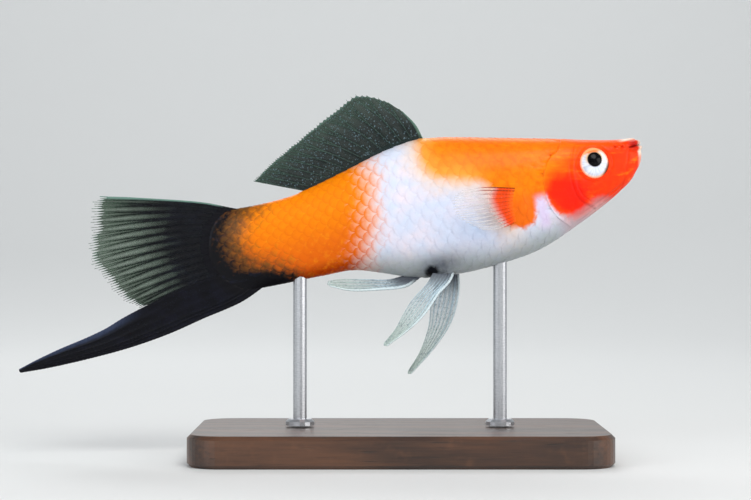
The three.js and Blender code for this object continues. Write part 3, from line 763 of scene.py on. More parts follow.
def ray_feeds(look):
    """The bony rays of one kind of fin, from its row of LOOKS."""

    def feeds(tree):
        on = FinSpot(tree, 3, 0.6)
        along, fine, share = on.along, on.fine, look["ray_clears"](on)
        # On the clear fins flesh_colour is painted shade.
        *flesh_ends, flesh_colour = look["flesh"]
        dark_top = tree.between(0.34, 0.06, on.across) * tree.between(0.75, 0.45, along)
        colour = tree.layers(
            tree.mix(share, look["ray_root"], look["ray_tip"]),
            (tree.between(0.5, 0.66, fine) * look["ray_mottle"], look["ray_speck"]),
            (tree.between(*flesh_ends, along), flesh_colour),
            (on.front * tree.between(0.02, 0.12, along) * look["front_edge"], look["rim"]),
            (dark_top * look["dark_top"], srgb(116, 44, 8)))
        return {
            "Base Color": colour,
            "Alpha": (blend(look["ray_alpha"], share) + (fine - 0.5) * 0.2).most(0.05).least(1.0),
            "Roughness": 0.3 + fine * 0.15,
            "Normal": tree.bump(fine, 0.3, 0.02),
            "Coat Weight": 0.05,
            "Coat Roughness": 0.2,
            "Specular IOR Level": 0.1,
        }

    return feeds


def wood_feeds(tree):
    """Dark stained, waxed wood with its grain along the base."""
    look = bpy.context.scene.swordtail_stand
    warp = tree.noise(0.04, 2, stretch=(0.35, 1, 1))
    rings = tree.node("ShaderNodeTexWave",
                      {"Vector": tree.place((0.03, 1, 0.8)), "Scale": 0.06, "Distortion": 8.0, "Detail": 2.0,
                       "Detail Scale": 0.35, "Phase Offset": warp * 22},
                      wave_type="BANDS", bands_direction="Y")
    grain = tree.noise(1.6, 5, 0.65, stretch=(0.06, 1, 1))
    pores = tree.between(0.62, 0.74, tree.noise(3.2, 2, stretch=(0.05, 1, 1), offset=11.0))
    colour = tree.mix(tree.between(0.15, 0.85, rings * 0.3 + grain * 0.7), look.wood_dark, look.wood_light)
    colour = tree.mix(pores * 0.7, colour, srgb(22, 13, 9))
    edge = tree.noise(0.4, 2, offset=31.0)
    return {
        "Base Color": tree.mix(tree.between(0.55, 0.8, edge) * 0.2, colour, srgb(120, 78, 50)),
        "Roughness": 0.34 + grain * 0.14 + pores * 0.2,
        "Normal": tree.bump(grain * 0.6 - pores * 0.8, 0.4, 0.06),
        "Coat Weight": 0.25,
        "Coat Roughness": 0.25,
    }


def steel_feeds(tree):
    """Satin steel, brushed round the rods."""
    brushed = tree.noise(7.0, 3, stretch=(0.25, 0.25, 1))
    smears = tree.noise(0.35, 3, offset=9.0)
    silver, grey = srgb(196, 198, 202), srgb(168, 171, 177)
    return {
        "Base Color": tree.mix(tree.between(0.35, 0.7, brushed) * 0.6, silver, grey),
        "Metallic": 1.0,
        "Roughness": 0.24 + brushed * 0.14 + smears * 0.1,
        "Normal": tree.bump(brushed, 0.25, 0.02),
    }


def stage_feeds(colour):
    """Matt paper with a faint cloudiness."""

    def feeds(tree):
        clouded = tree.mix(tree.noise(0.004, 2) * 0.3, colour, [c * 0.96 for c in colour])
        return {"Base Color": clouded, "Roughness": 0.85, "Specular IOR Level": 0.2}

    return feeds


# Settings that a user may change


def a_length(name, millimetres, description):
    return bpy.props.FloatProperty(name=name, description=description, default=millimetres * MM, min=0,
                                   subtype="DISTANCE", unit="LENGTH", precision=5)


def a_count(name, default, description, low=1):
    return bpy.props.IntProperty(name=name, description=description, default=default, min=low)


def a_share(name, default, description):
    return bpy.props.FloatProperty(name=name, description=description, default=default, min=0, max=2,
                                   subtype="FACTOR")


def a_colour(name, default, description):
    return bpy.props.FloatVectorProperty(name=name, description=description, default=srgb(*default), size=3,
                                         min=0, max=1, subtype="COLOR")


class SwordtailSkin(bpy.types.PropertyGroup):
    rings: a_count("Rings", 296, "Rings of points from the lips to the end of the flesh", 60)
    around: a_count("Points Around", 240, "Points in each ring", 48)
    inset: a_length("Coat Depth", 0.1, "How far the skin lies inside the solids, to leave the scales room")
    lips: a_length("Lip Height", 0.22, "How far the lips stand off the snout")
    mouth: a_length("Mouth Depth", 0.3, "Depth of the closed mouth's line")
    gill_cover: a_length("Gill Cover Rise", 0.34, "How far the gill cover stands off the shoulder")
    gold: a_colour("Gold", (255, 130, 2), "Colour of the nape and shoulder")
    snout: a_colour("Snout", (246, 54, 2), "Colour of the snout and round the eye")
    cheek: a_colour("Cheek", (240, 24, 2), "Colour of the red cheek")
    orange: a_colour("Orange", (255, 140, 1), "Colour of the tail's upper side")
    # The belly's grey is partly its own colour and partly painted shade.
    belly: a_colour("Belly", (168, 176, 172), "Colour of the shaded belly")
    black: a_colour("Black", (10, 10, 15), "Colour of the tail's sooty base")


class SwordtailScales(bpy.types.PropertyGroup):
    courses: a_count("Courses", 59, "Rows of scales from the shoulder to the tail fin")
    in_course: a_count("Scales in a Course", 16, "Scales side by side round the body")
    first: a_length("First Course", 12.6, "Distance behind the lips of the first row")
    last: a_length("Last Course", 70.6, "Distance behind the lips of the last row")
    reach: a_share("Length", 1.75, "Length of a scale as a share of the spacing of every second row")
    breadth: a_share("Breadth", 1.04, "Breadth of a scale as a share of its spacing")
    lift: a_length("Lift", 0.15, "Rise of a scale from its hidden root to its free edge")
    jitter: a_share("Unevenness", 0.12, "How much scales differ in size")
    seed: a_count("Seed", 4, "Seed of the unevenness", 0)


class SwordtailEyes(bpy.types.PropertyGroup):
    pupil: a_length("Pupil Radius", 1.15, "Radius of the pupil")
    pupil_rise: a_length("Pupil Rise", 0.55, "How far the pupil lies above the eye's middle")
    bulge: a_length("Lens Bulge", 0.2, "How far the lens bulges out of the iris")
    iris: a_colour("Iris", (232, 238, 250), "Colour of the iris")
    black: a_colour("Pupil", (6, 6, 8), "Colour of the pupil")


class SwordtailFins(bpy.types.PropertyGroup):
    membrane: a_length("Membrane", 0.13, "Thickness of the skin between the rays at the root")
    ray: a_length("Ray Radius", 0.15, "Radius of a ray at its root")
    segment: a_length("Ray Segment", 0.62, "Length of one bony segment of a ray")
    joint: a_share("Joint Depth", 0.26, "How much a ray narrows between two segments")
    sides: a_count("Ray Sides", 6, "Sides of a ray's section", 3)
    dorsal: a_colour("Dorsal Fin", (26, 36, 33), "Colour of the dorsal fin")
    black: a_colour("Tail Fin", (7, 8, 14), "Colour of the tail fin and sword")
    clear: a_colour("Clear Fins", (170, 186, 194), "Colour of the clear fins")


class SwordtailStand(bpy.types.PropertyGroup):
    wood_dark: a_colour("Dark Wood", (40, 25, 17), "Colour of the wood's dark grain")
    wood_light: a_colour("Light Wood", (92, 58, 36), "Colour of the wood's light grain")


class SwordtailStage(bpy.types.PropertyGroup):
    floor: a_colour("Floor", (224, 226, 226), "Colour of the floor and backdrop")
    lens: bpy.props.FloatProperty(name="Lens", description="Focal length of the camera", default=100, min=1,
                                  unit="CAMERA")
    key: bpy.props.FloatProperty(name="Key Light", description="Power of the main light", default=1.75,
                                 unit="POWER")


# Fins


class Fin:
    """A fin's middle surface, stretched between its root, its free edge, and its first and last ray,
    which run from the root's ends to the edge's ends through the points given."""

    def __init__(self, root, edge, first, last, sway=None):
        outline = root, edge, (root[0], *first, edge[0]), (root[-1], *last, edge[-1])
        self.curves = [smooth_path(points) for points in outline]
        self.corners = in_space([root[0], root[-1], edge[0], edge[-1]])
        self.sway = sway or (lambda behind, across, along: 0)

    def inner(self, across, along):
        root, edge, first, last = self.curves
        u, v = across[..., None], along[..., None]
        blended = root(across) * (1 - v) + edge(across) * v + first(along) * (1 - u) + last(along) * u
        c = self.corners
        return blended - c[0] * (1 - u) * (1 - v) - c[1] * u * (1 - v) - c[2] * (1 - u) * v - c[3] * u * v

    def at(self, across, along):
        """The point in the fish's frame; past the root or the edge it goes straight on."""
        across, along = np.broadcast_arrays(np.asarray(across, float), np.asarray(along, float))
        kept = np.clip(along, 0, 1)
        back = np.clip(kept + np.where(kept < 0.5, 0.02, -0.02), 0, 1)
        here = self.inner(across, kept)
        slope = (here - self.inner(across, back)) / (kept - back)[..., None]
        behind, z, y = np.moveaxis(here + slope * (along - kept)[..., None], -1, 0)
        return fish(behind, y + self.sway(behind, across, along), z)

    def normal(self, across, along):
        step = 0.004
        a = self.at(np.clip(across + step, 0, 1), along) - self.at(np.clip(across - step, 0, 1), along)
        return unit(np.cross(a, self.at(across, along + step) - self.at(across, along - step)))


class Ray:
    """One branch of a ray: where it runs across the fin as it goes along it."""

    def __init__(self, root, edge, spacing, turns, forks, start, tip, size):
        self.root, self.edge, self.spacing, self.turns, self.forks = root, edge, spacing, turns, forks
        self.start, self.tip, self.size = start, tip, size

    def across(self, along):
        shift = sum(turn * amount * smoothstep(fork, 1.05, along) ** 0.8
                    for turn, amount, fork in zip(self.turns, (0.25, 0.125), self.forks))
        middle = self.root + (self.edge - self.root) * np.clip(along, 0, 1) ** 0.8
        return np.clip(middle + self.spacing * shift, 0, 1)

    def radius(self, along):
        thinner = 1
        for turn, fork in zip(self.turns, self.forks):
            thinner = thinner * (1 - 0.2 * smoothstep(fork - 0.03, fork + 0.05, along) * (turn != 0))
        return self.size * thinner * (1 - 0.5 * np.clip(along, 0, 1) ** 1.3)


def fan_of_rays(rays, sink, seed, forks=(2, 2), plain=(), tips=0.0, strong=(), weak=1.0, laid_back=None):
    """The branches of a fin's rays. plain names rays that don't fork, strong those that are thicker than
    the weak rest, and laid_back gives the place at the free edge for places along the root."""
    chance = np.random.default_rng(seed)
    branches = []
    places = np.clip(np.arange(rays) / (rays - 1), 0.012, 0.988)
    edges = np.interp(places, *laid_back) if laid_back else places
    for number, (root, edge, spacing) in enumerate(zip(places, edges, np.gradient(edges))):
        own = [fork + chance.uniform(-0.05, 0.05) for fork in forks]
        size = chance.uniform(0.9, 1.1) * (1.5 if number in strong else weak)
        if number in plain:
            turns = [(0, 0)]
        elif forks[1] >= 1:
            turns = [(1, 0), (-1, 0)]
        else:
            turns = [(1, 1), (1, -1), (-1, 1), (-1, -1)]
        for turn in turns:
            start = own[1] - 0.03 if turn[1] < 0 else own[0] - 0.03 if turn[0] < 0 else -sink
            tip = 1 + chance.uniform(-0.4, 1) * tips
            branches.append(Ray(root, edge, spacing, turn, own, start, tip, size))
    return branches


def membrane_mesh(name, fin, branches, grid, half, sink, notch, ragged, seed):
    """A closed thin shell on the fin's surface, thinner and shorter between its rays."""
    chance = np.random.default_rng(seed)
    columns, steps = grid
    across = np.linspace(0, 1, columns)
    ends = np.array([branch.across(1.0) for branch in branches])
    spread = np.sort(ends)
    spacing = np.interp(across, spread[:-1] + np.diff(spread) / 2, np.maximum(np.diff(spread), 1e-3))
    gap_end = np.clip(np.min(np.abs(across[:, None] - ends), 1) / (spacing / 2), 0, 1)
    ripple = np.interp(across, np.linspace(0, 1, 30), chance.uniform(-1, 0.2, 30)) * ragged
    reach = 1 - notch * gap_end**1.5 + ripple
    along = -sink + (np.linspace(0, 1, steps) ** 0.92)[:, None] * (reach + sink)
    across = np.repeat(across[None], steps, 0)
    kept = np.clip(along, 0, 1)
    at_branch = np.array([branch.across(along) for branch in branches])
    gaps_at_root = len({branch.root for branch in branches}) - 1
    half_gap = 0.5 / gaps_at_root * np.where(along < branches[0].forks[0], 1.0, 0.55)
    gap = np.clip(np.min(np.abs(across - at_branch), 0) / half_gap, 0, 1)
    middle, normal = fin.at(across, along), fin.normal(across, np.clip(along, 0.01, 0.99))
    thick = half * (1 - 0.55 * kept) * (1 - 0.45 * gap)
    thick[-1] *= 0.25
    thick[:, [0, -1]] *= 0.3
    waves = 0.35 * half * np.sin(gap * 3.1) * kept
    points, shell = thin_shell(*(middle + normal * (waves + sign * thick)[..., None] for sign in (1, -1)))
    fields = {"along": kept, "across": across, "gap": gap, "behind": -points[:, 0]}
    return mesh_from(name, to_row(points), shell, {
        key: values if key == "behind" else np.tile(values.ravel(), 2) for key, values in fields.items()})


def ray_paths(name, fin, branches, radius):
    """The rays' middle lines as a mesh of edges, with each point's radius and place on the fin."""
    steps = 40
    starts, tips = zip(*((branch.start, branch.tip) for branch in branches))
    along = np.linspace(starts, tips, steps, axis=1)
    across = np.array([branch.across(line) for branch, line in zip(branches, along)])
    radii = np.array([radius * branch.radius(line) for branch, line in zip(branches, along)])
    points = fin.at(across, along).reshape(-1, 3)
    numbers = np.arange(len(points)).reshape(-1, steps)
    edges = np.stack([numbers[:, :-1], numbers[:, 1:]], -1).reshape(-1, 2)
    mesh = bpy.data.meshes.new(name)
    mesh.from_pydata(to_row(points).tolist(), edges.tolist(), [])
    store(mesh, {"ray_radius": radii.ravel() * MM, "along": np.clip(along, 0, 1).ravel(),
                 "across": across.ravel(), "behind": -points[:, 0]})
    return mesh


def grown(carrier, group, values):
    """The plain mesh that a geometry tree makes on a carrier, which is then removed."""
    modifier = carrier.modifiers.new(group.name, "NODES")
    modifier.node_group = group
    keys = {item.name: item.identifier for item in group.interface.items_tree if item.in_out == "INPUT"}
    for name, value in values.items():
        modifier[keys[name]] = value
    graph = bpy.context.evaluated_depsgraph_get()
    mesh = bpy.data.meshes.new_from_object(carrier.evaluated_get(graph), preserve_all_data_layers=True,
                                           depsgraph=graph)
    carrier.modifiers.remove(modifier)
    bpy.data.objects.remove(carrier)
    return mesh


def ray_group():
    """Geometry tree: round jointed rays along the paths of a carrier mesh."""
    name = "Swordtail Rays"
    if name in bpy.data.node_groups:
        return bpy.data.node_groups[name]
    tree = Group(name, {"Segment Length": "Float", "Joint Depth": "Float", "Sides": "Int"})
    paths = tree.node("GeometryNodeMeshToCurve", {"Mesh": tree.input("Geometry")})
    curve = tree.node("GeometryNodeResampleCurve",
                      {"Curve": paths, "Length": tree.input("Segment Length") / 4}, mode="LENGTH")
    index = tree.node("GeometryNodeSplineParameter", out="Index")
    at_joint = tree.math("COMPARE", tree.math("MODULO", index, 4), 0.0, 0.5)
    ring = tree.node("GeometryNodeCurvePrimitiveCircle", {"Resolution": tree.input("Sides"), "Radius": 1.0},
                     mode="RADIUS")
    return tree.close(tree.node("GeometryNodeCurveToMesh", {
        "Curve": curve, "Profile Curve": ring, "Fill Caps": True,
        "Scale": tree.named("ray_radius", "FLOAT") * (1 - at_joint * tree.input("Joint Depth"))}))


def toward_tip(low, high):
    """A share that grows along a fin, with a cloudy limit."""
    return lambda on: on.between(low, high, on.along + (on.broad - 0.5) * 0.3)


# Each kind of fin: its membrane, then its rays. A root given as a word is a colour of the settings.
# clears and ray_clears say where the root's colour gives way to the tip's, and alpha holds for both ends.
# flesh is where the body's flesh ends on the fin, where it is whole, and its colour; on the clear fins that
# colour is a dark grey painted shade, matching the shaded belly at their roots.

LOOKS = {
    "dorsal": {
        "root": "dorsal", "root_shade": srgb(22, 30, 30), "tip": srgb(46, 64, 54),
        "tip_shade": srgb(28, 40, 34), "speck": srgb(120, 146, 158), "rim": srgb(110, 142, 128),
        "clears": lambda on: on.between(0.35, 1.0, on.along + (on.broad - 0.5) * 0.6 - on.across * 0.1),
        "alpha": (0.93, 0.84), "specks": 0.55, "thin": 0.12, "flesh": (0.06, 0.0, srgb(34, 44, 44)),
        "front_edge": 0.7,
        "ray_root": srgb(54, 68, 64), "ray_tip": srgb(72, 94, 84), "ray_speck": srgb(34, 44, 42),
        "ray_clears": toward_tip(0.1, 0.9), "ray_mottle": 0.7, "ray_alpha": (0.9, 0.85)},
    "caudal": {
        "root": "black", "root_shade": srgb(18, 20, 28), "tip": srgb(74, 96, 76),
        "tip_shade": srgb(44, 60, 46), "speck": srgb(30, 38, 34), "rim": srgb(122, 158, 146),
        "clears": lambda on: on.between(76.5, 88.5, on.behind + (on.broad - 0.5) * 5 + (on.fine - 0.5) * 4
                                        - (0.25 - on.across).most(0.0) * 4),
        "alpha": (0.98, 0.6), "specks": 0.3, "thin": 0.08, "flesh": (0.05, 0.0, srgb(12, 12, 18)),
        "streaks": 5.0, "front_edge": 0.8,
        "ray_root": srgb(12, 13, 18), "ray_tip": srgb(84, 108, 92), "ray_speck": srgb(60, 76, 70),
        "ray_clears": lambda on: on.between(85, 91, on.behind + (on.broad - 0.5) * 4
                                            + (0.2 - on.across).most(0.0) * 30),
        "ray_mottle": 0.15, "ray_alpha": (1.0, 0.8)},
    "sword": {
        "root": "black", "root_shade": srgb(12, 13, 24), "tip": srgb(60, 70, 96),
        "tip_shade": srgb(26, 30, 50), "speck": srgb(36, 42, 62), "rim": srgb(70, 90, 100),
        # On the sword the tip colours, along its upper edge from the middle on, are a painted bluish-grey
        # sheen; ray_clears paints the same sheen on its rays.
        "clears": lambda on: (on.between(0.2, 0.02, on.across + (on.broad - 0.5) * 0.1)
                              * on.between(0.35, 0.55, on.along) * 0.85),
        "alpha": (1.0, 0.9), "specks": 0.2, "thin": 0.0, "flesh": (0.05, 0.0, srgb(10, 10, 15)),
        "ray_root": srgb(10, 10, 16), "ray_tip": srgb(56, 66, 90), "ray_speck": srgb(30, 34, 50),
        "ray_clears": lambda on: on.between(0.1, 0.0, on.across) * on.between(0.35, 0.55, on.along),
        "ray_mottle": 0.2, "ray_alpha": (1.0, 1.0)},
    "clear": {
        "root": "clear", "root_shade": srgb(138, 154, 162), "tip": srgb(176, 194, 188),
        "tip_shade": srgb(134, 154, 146), "speck": srgb(70, 84, 96), "rim": srgb(222, 236, 240),
        "clears": toward_tip(0.2, 0.9),
        # The clear fins' flesh colour is painted shade, darkened to match the shaded belly at their roots.
        "alpha": (0.5, 0.38), "specks": 0.8, "thin": 0.14, "flesh": (0.28, 0.05, srgb(88, 93, 102)),
        "front_edge": 0.9,
        "ray_root": srgb(186, 206, 218), "ray_tip": srgb(196, 212, 206), "ray_speck": srgb(100, 122, 140),
        "ray_clears": toward_tip(0.25, 0.9), "ray_mottle": 0.6, "ray_alpha": (0.95, 0.85)},
    "pectoral": {
        "root": srgb(232, 70, 4), "root_shade": srgb(218, 56, 2), "tip": srgb(236, 232, 230),
        "tip_shade": srgb(214, 212, 218), "speck": srgb(150, 130, 120), "rim": srgb(240, 240, 240),
        "clears": lambda on: on.between(0.32, 0.54, on.along + (on.broad - 0.5) * 0.1
                                        + (on.across - 0.4) * 0.12),
        "alpha": (0.97, 0.12), "specks": 0.2, "thin": 0.05, "flesh": (0.24, 0.06, srgb(250, 112, 10)),
        "dark_top": 0.9,
        "ray_root": srgb(206, 62, 3), "ray_tip": srgb(226, 222, 222), "ray_speck": srgb(150, 110, 90),
        "ray_clears": lambda on: on.between(0.34, 0.6, on.along + (on.fine - 0.5) * 0.1
                                            + (on.across - 0.3).least(0.0) * 0.9),
        "ray_mottle": 0.2, "ray_alpha": (0.85, 0.42)},
}


def make_fin(node, kind, slot, fin, grid, seed, rays, sink=0.0, notch=0.0, ragged=0.0, ray_scale=1.0,
             thick=1.0):
    """One fin: its membrane and its rays, which both stand for the same node."""
    settings = bpy.context.scene.swordtail_fins
    look = {"streaks": 0.0, "front_edge": 0.0, "dark_top": 0.0, **LOOKS[kind]}
    if isinstance(look["root"], str):
        look["root"] = tuple(getattr(settings, look["root"]))
    branches = fan_of_rays(sink=sink, seed=seed, **rays)
    half = settings.membrane / MM / 2 * thick
    membrane = membrane_mesh(node + "_membrane", fin, branches, grid, half, sink, notch, ragged, seed)
    membrane.materials.append(material(kind + "_membrane", membrane_feeds(look)))
    paths = ray_paths(node + "_paths", fin, branches, settings.ray / MM * ray_scale)
    ray_mesh = grown(linked(node + "_paths", paths), ray_group(), {
        "Segment Length": settings.segment, "Joint Depth": settings.joint, "Sides": settings.sides,
        "Material": material(kind + "_rays", ray_feeds(look))})
    for name, mesh in ((node + "_membrane", membrane), (node + "_rays", ray_mesh)):
        finished(linked(name, mesh), slot, node)


def tail_root(start, end):
    """A line just inside the end of the flesh, between two shares of its length."""
    path = smooth_path(FLESH_END, uniform=True)
    shares = np.linspace(start, end, 9)
    here, ahead = path(shares), path(shares + 1e-3)
    return [(p[0] - way[1] * 0.35, p[1] + way[0] * 0.35) for p, way in zip(here, unit((ahead - here)[:, :2]))]


def tail_sway(behind, across, along):
    """How far the tail fin and sword bend to the left."""
    return 2.4 * (np.maximum(behind - 66, 0) / 39) ** 2


# Operators


class SWORDTAIL_OT_skin(bpy.types.Operator):
    """Make the one skin of the head, trunk and tail"""

    bl_idname = "swordtail.skin"
    bl_label = "Skin"

    def execute(self, context):
        look = context.scene.swordtail_skin
        _, places, points, crease = finished_skin(look, look.rings, look.around, 0.1)
        rings, around, _ = points.shape
        tip, last, half = rings * around, (rings - 1) * around, around // 2
        j = np.arange(1, half - 1)
        seal = last + np.stack([j, around - j, around - j - 1, j + 1], -1)
        seal_ends = last + np.array([[0, around - 1, 1], [half - 1, half + 1, half]])
        shell = quads(rings, around, wrap=True)
        every_point = np.concatenate([points.reshape(-1, 3), points[0].mean(0)[None]])
        if not faces_outward(every_point, shell):
            shell = shell[:, ::-1]
        triangles = np.concatenate([fan(np.arange(around), tip), seal_ends])
        fields = {name: np.append(values.ravel(), values[0].mean())
                  for name, values in {**markings(*places), "crease": crease}.items()}
        mesh = mesh_from("skin", to_row(every_point), (shell, seal, triangles),
                         {**fields, "rim": np.zeros(tip + 1)})
        unwrap_rings(mesh, rings, around)
        mesh.materials.append(material("fish_skin", skin_feeds))
        finished(linked("skin", mesh), "skin", "head", "lower_jaw", "torso", "tail")
        return {"FINISHED"}


def unwrap_rings(mesh, rings, around):
    """Lays a tube of rings out flat on the skin's UV map, OFBake."""
    corners = np.empty(len(mesh.loops), np.int32)
    mesh.loops.foreach_get("vertex_index", corners)
    across = np.append(np.tile(np.arange(around) / around, rings), 0.5)[corners]
    down = np.append(np.repeat(np.linspace(0.01, 1, rings), around), 0)[corners]
    starts = np.empty(len(mesh.polygons), np.int32)
    mesh.polygons.foreach_get("loop_start", starts)
    widest = np.repeat(np.maximum.reduceat(across, starts), np.diff(np.append(starts, len(corners))))
    across = np.where((widest > 0.9) & (across < 0.1), across + 1, across)
    places = np.stack([across, down], -1) * 0.98
    mesh.uv_layers.new(name="OFBake").data.foreach_set("uv", places.astype(np.float32).ravel())


def scale_bed(look):
    """The skin again from the nape back, opened at the belly, with a place (u, v) for each point."""
    around, overlap = 160, 24
    flesh, (behind, _, z), points, _ = finished_skin(look, 200, around, 0.2)
    kept = flesh > SCALED_FROM
    turned = np.arange(-overlap, around + overlap + 1)
    points, normals, behind, z = (grid[kept][:, turned % around]
                                  for grid in (points, grid_normals(points), behind, z))
    u, v = np.broadcast_arrays(flesh[kept][:, None] / WRAP_LENGTH, turned[None] / around)
    bare = (behind < gill_edge_at(z)) | (distance_to(behind, z, GILL_EDGE) < 0.75)
    return mesh_from("scale_bed", to_row(points), quads(*u.shape), {
        "bed_place": np.stack([u, v, 0 * u], -1).reshape(-1, 3),
        "bed_normal": (to_row(normals.reshape(-1, 3)) - to_row(np.zeros(3))) / MM, "bare": bare.ravel()})


def scale_plate():
    """A closed scale: x from -1 at its hidden root to 0 at its free edge, y across, z above the skin."""
    t = np.array([-1, -0.78, -0.42, 0, 0.42, 0.78, 1])[None]
    s = np.array([0, 0.5, 0.85, 1])[:, None]
    free = -0.36 * (1 - np.sqrt(1 - t**2 * 0.999))
    x = -1 + (1 + free) * s
    y = 0.5 * t * (0.82 + 0.18 * smoothstep(0, 0.5, s))
    top = -0.45 + 0.9 * (x + 1) + 0.2 * (1 - t**2)
    rim = np.clip(np.maximum(s**4, np.abs(t) ** 3 * s), 0, 1)
    points, shell = thin_shell(*(np.stack([x, y, top - depth], -1) for depth in (0, 0.26 - 0.08 * s)))
    plate = mesh_from("scale_plate", points, shell, {
        "rim": np.tile(rim.ravel(), 2), "local": points * (1, 1, 0) + (0.5, 0, 0)})
    rows, columns = rim.shape
    row, column = np.divmod(np.arange(len(points)) % rim.size, columns)
    outer = (row % (rows - 1) == 0) | (column % (columns - 1) == 0)
    ends = np.array([edge.vertices[:] for edge in plate.edges])
    sharp = outer[ends].all(1) & (ends[:, 0] // rim.size == ends[:, 1] // rim.size)
    plate.attributes.new("sharp_edge", "BOOLEAN", "EDGE").data.foreach_set("value", sharp)
    return plate


def scale_group():
    """Geometry tree: courses of plates laid out flat, then wrapped on the bed by its own places."""
    tree = Group("Swordtail Scales", {
        "Plate": "Object", "Courses": "Int", "Scales in a Course": "Int", "First": "Float", "Last": "Float",
        "Length": "Float", "Breadth": "Float", "Lift": "Float", "Unevenness": "Float", "Seed": "Int"})
    number, here = tree.node("GeometryNodeInputIndex"), tree.node("GeometryNodeInputPosition")
    courses, in_course, first, last = map(tree.input, ("Courses", "Scales in a Course", "First", "Last"))

    def sample(kind, value):
        return tree.node("GeometryNodeSampleUVSurface", {
            "Mesh": tree.input("Geometry"), "Value": value, "UV Map": tree.named("bed_place"),
            "Sample UV": here}, data_type=kind)

    def keep(geometry, name, value, kind="FLOAT_VECTOR", domain="POINT"):
        return tree.node("GeometryNodeStoreNamedAttribute",
                         {"Geometry": geometry, "Name": name, "Value": value}, data_type=kind, domain=domain)

    def uneven(share, seed):
        chance = tree.node("FunctionNodeRandomValue", {
            2: -1.0, 3: 1.0, "ID": number, "Seed": tree.input("Seed") + seed}, 1, data_type="FLOAT")
        return 1 + chance * tree.input("Unevenness") * share

    course = tree.math("FLOOR", number / in_course)
    u = first + (last - first) * course / (courses - 1)
    v = (number - course * in_course + tree.math("MODULO", course, 2) * 0.5 + 0.25) / in_course
    spot = tree.node("ShaderNodeCombineXYZ", {0: u, 1: v})
    points = tree.node("GeometryNodePoints", {"Count": courses * in_course, "Position": spot})
    on_bare_skin = tree.math("GREATER_THAN", sample("FLOAT", tree.named("bare", "FLOAT")), 0.5)
    points = tree.node("GeometryNodeDeleteGeometry", {"Geometry": points, "Selection": on_bare_skin},
                       domain="POINT")
    points = keep(points, "root_place", here)
    plate = tree.node("GeometryNodeObjectInfo", {"Object": tree.input("Plate")}, "Geometry")
    spacing = (last - first) / (courses - 1) * 2
    stretch = tree.node("ShaderNodeCombineXYZ", {
        0: spacing * tree.input("Length") * uneven(0.5, 1),
        1: tree.input("Breadth") / in_course * uneven(0.3, 2),
        2: tree.input("Lift") * uneven(1, 3)})
    laid = tree.node("GeometryNodeInstanceOnPoints", {"Points": points, "Instance": plate, "Scale": stretch})
    flat = tree.node("GeometryNodeRealizeInstances", {0: laid})
    rise = tree.node("ShaderNodeSeparateXYZ", {0: here}, 2)
    lifted = tree.vector("SCALE", sample("FLOAT_VECTOR", tree.named("bed_normal")), rise)
    wrapped = tree.vector("ADD", sample("FLOAT_VECTOR", here), lifted)
    coat = tree.node("GeometryNodeSetPosition", {"Geometry": flat, "Position": wrapped})
    root = tree.named("root_place")
    root_u, root_v = (tree.node("ShaderNodeSeparateXYZ", {0: root}, axis) * 0.98 for axis in (0, 1))
    swapped = tree.node("ShaderNodeCombineXYZ", {0: root_v, 1: root_u})
    unwrap = tree.vector("ADD", swapped, tree.vector("SCALE", tree.named("local"), 0.003))
    return tree.close(keep(coat, "OFBake", unwrap, "FLOAT2", "CORNER"))


class SWORDTAIL_OT_scales(bpy.types.Operator):
    """Lay the coat of overlapping scales on the trunk and tail"""

    bl_idname = "swordtail.scales"
    bl_label = "Scales"

    def execute(self, context):
        look = context.scene.swordtail_scales
        plate = linked("scale_plate", scale_plate())
        bed = linked("scale_bed", scale_bed(context.scene.swordtail_skin))
        mesh = grown(bed, scale_group(), {
            "Plate": plate, "Courses": look.courses, "Scales in a Course": look.in_course,
            "First": look.first / MM / WRAP_LENGTH, "Last": look.last / MM / WRAP_LENGTH,
            "Length": look.reach, "Breadth": look.breadth, "Lift": look.lift, "Unevenness": look.jitter,
            "Seed": look.seed, "Material": material("fish_skin", skin_feeds)})
        bpy.data.objects.remove(plate)
        if len(mesh.vertices) < 1000:
            raise RuntimeError("the scales' geometry tree made no coat")
        points = np.empty(len(mesh.vertices) * 3, np.float32)
        mesh.vertices.foreach_get("co", points)
        store(mesh, markings(*to_fish(points.reshape(-1, 3))))
        for name in ("root_place", "local"):
            mesh.attributes.remove(mesh.attributes[name])
        finished(linked("scales", mesh), "skin", "torso", "tail")
        return {"FINISHED"}


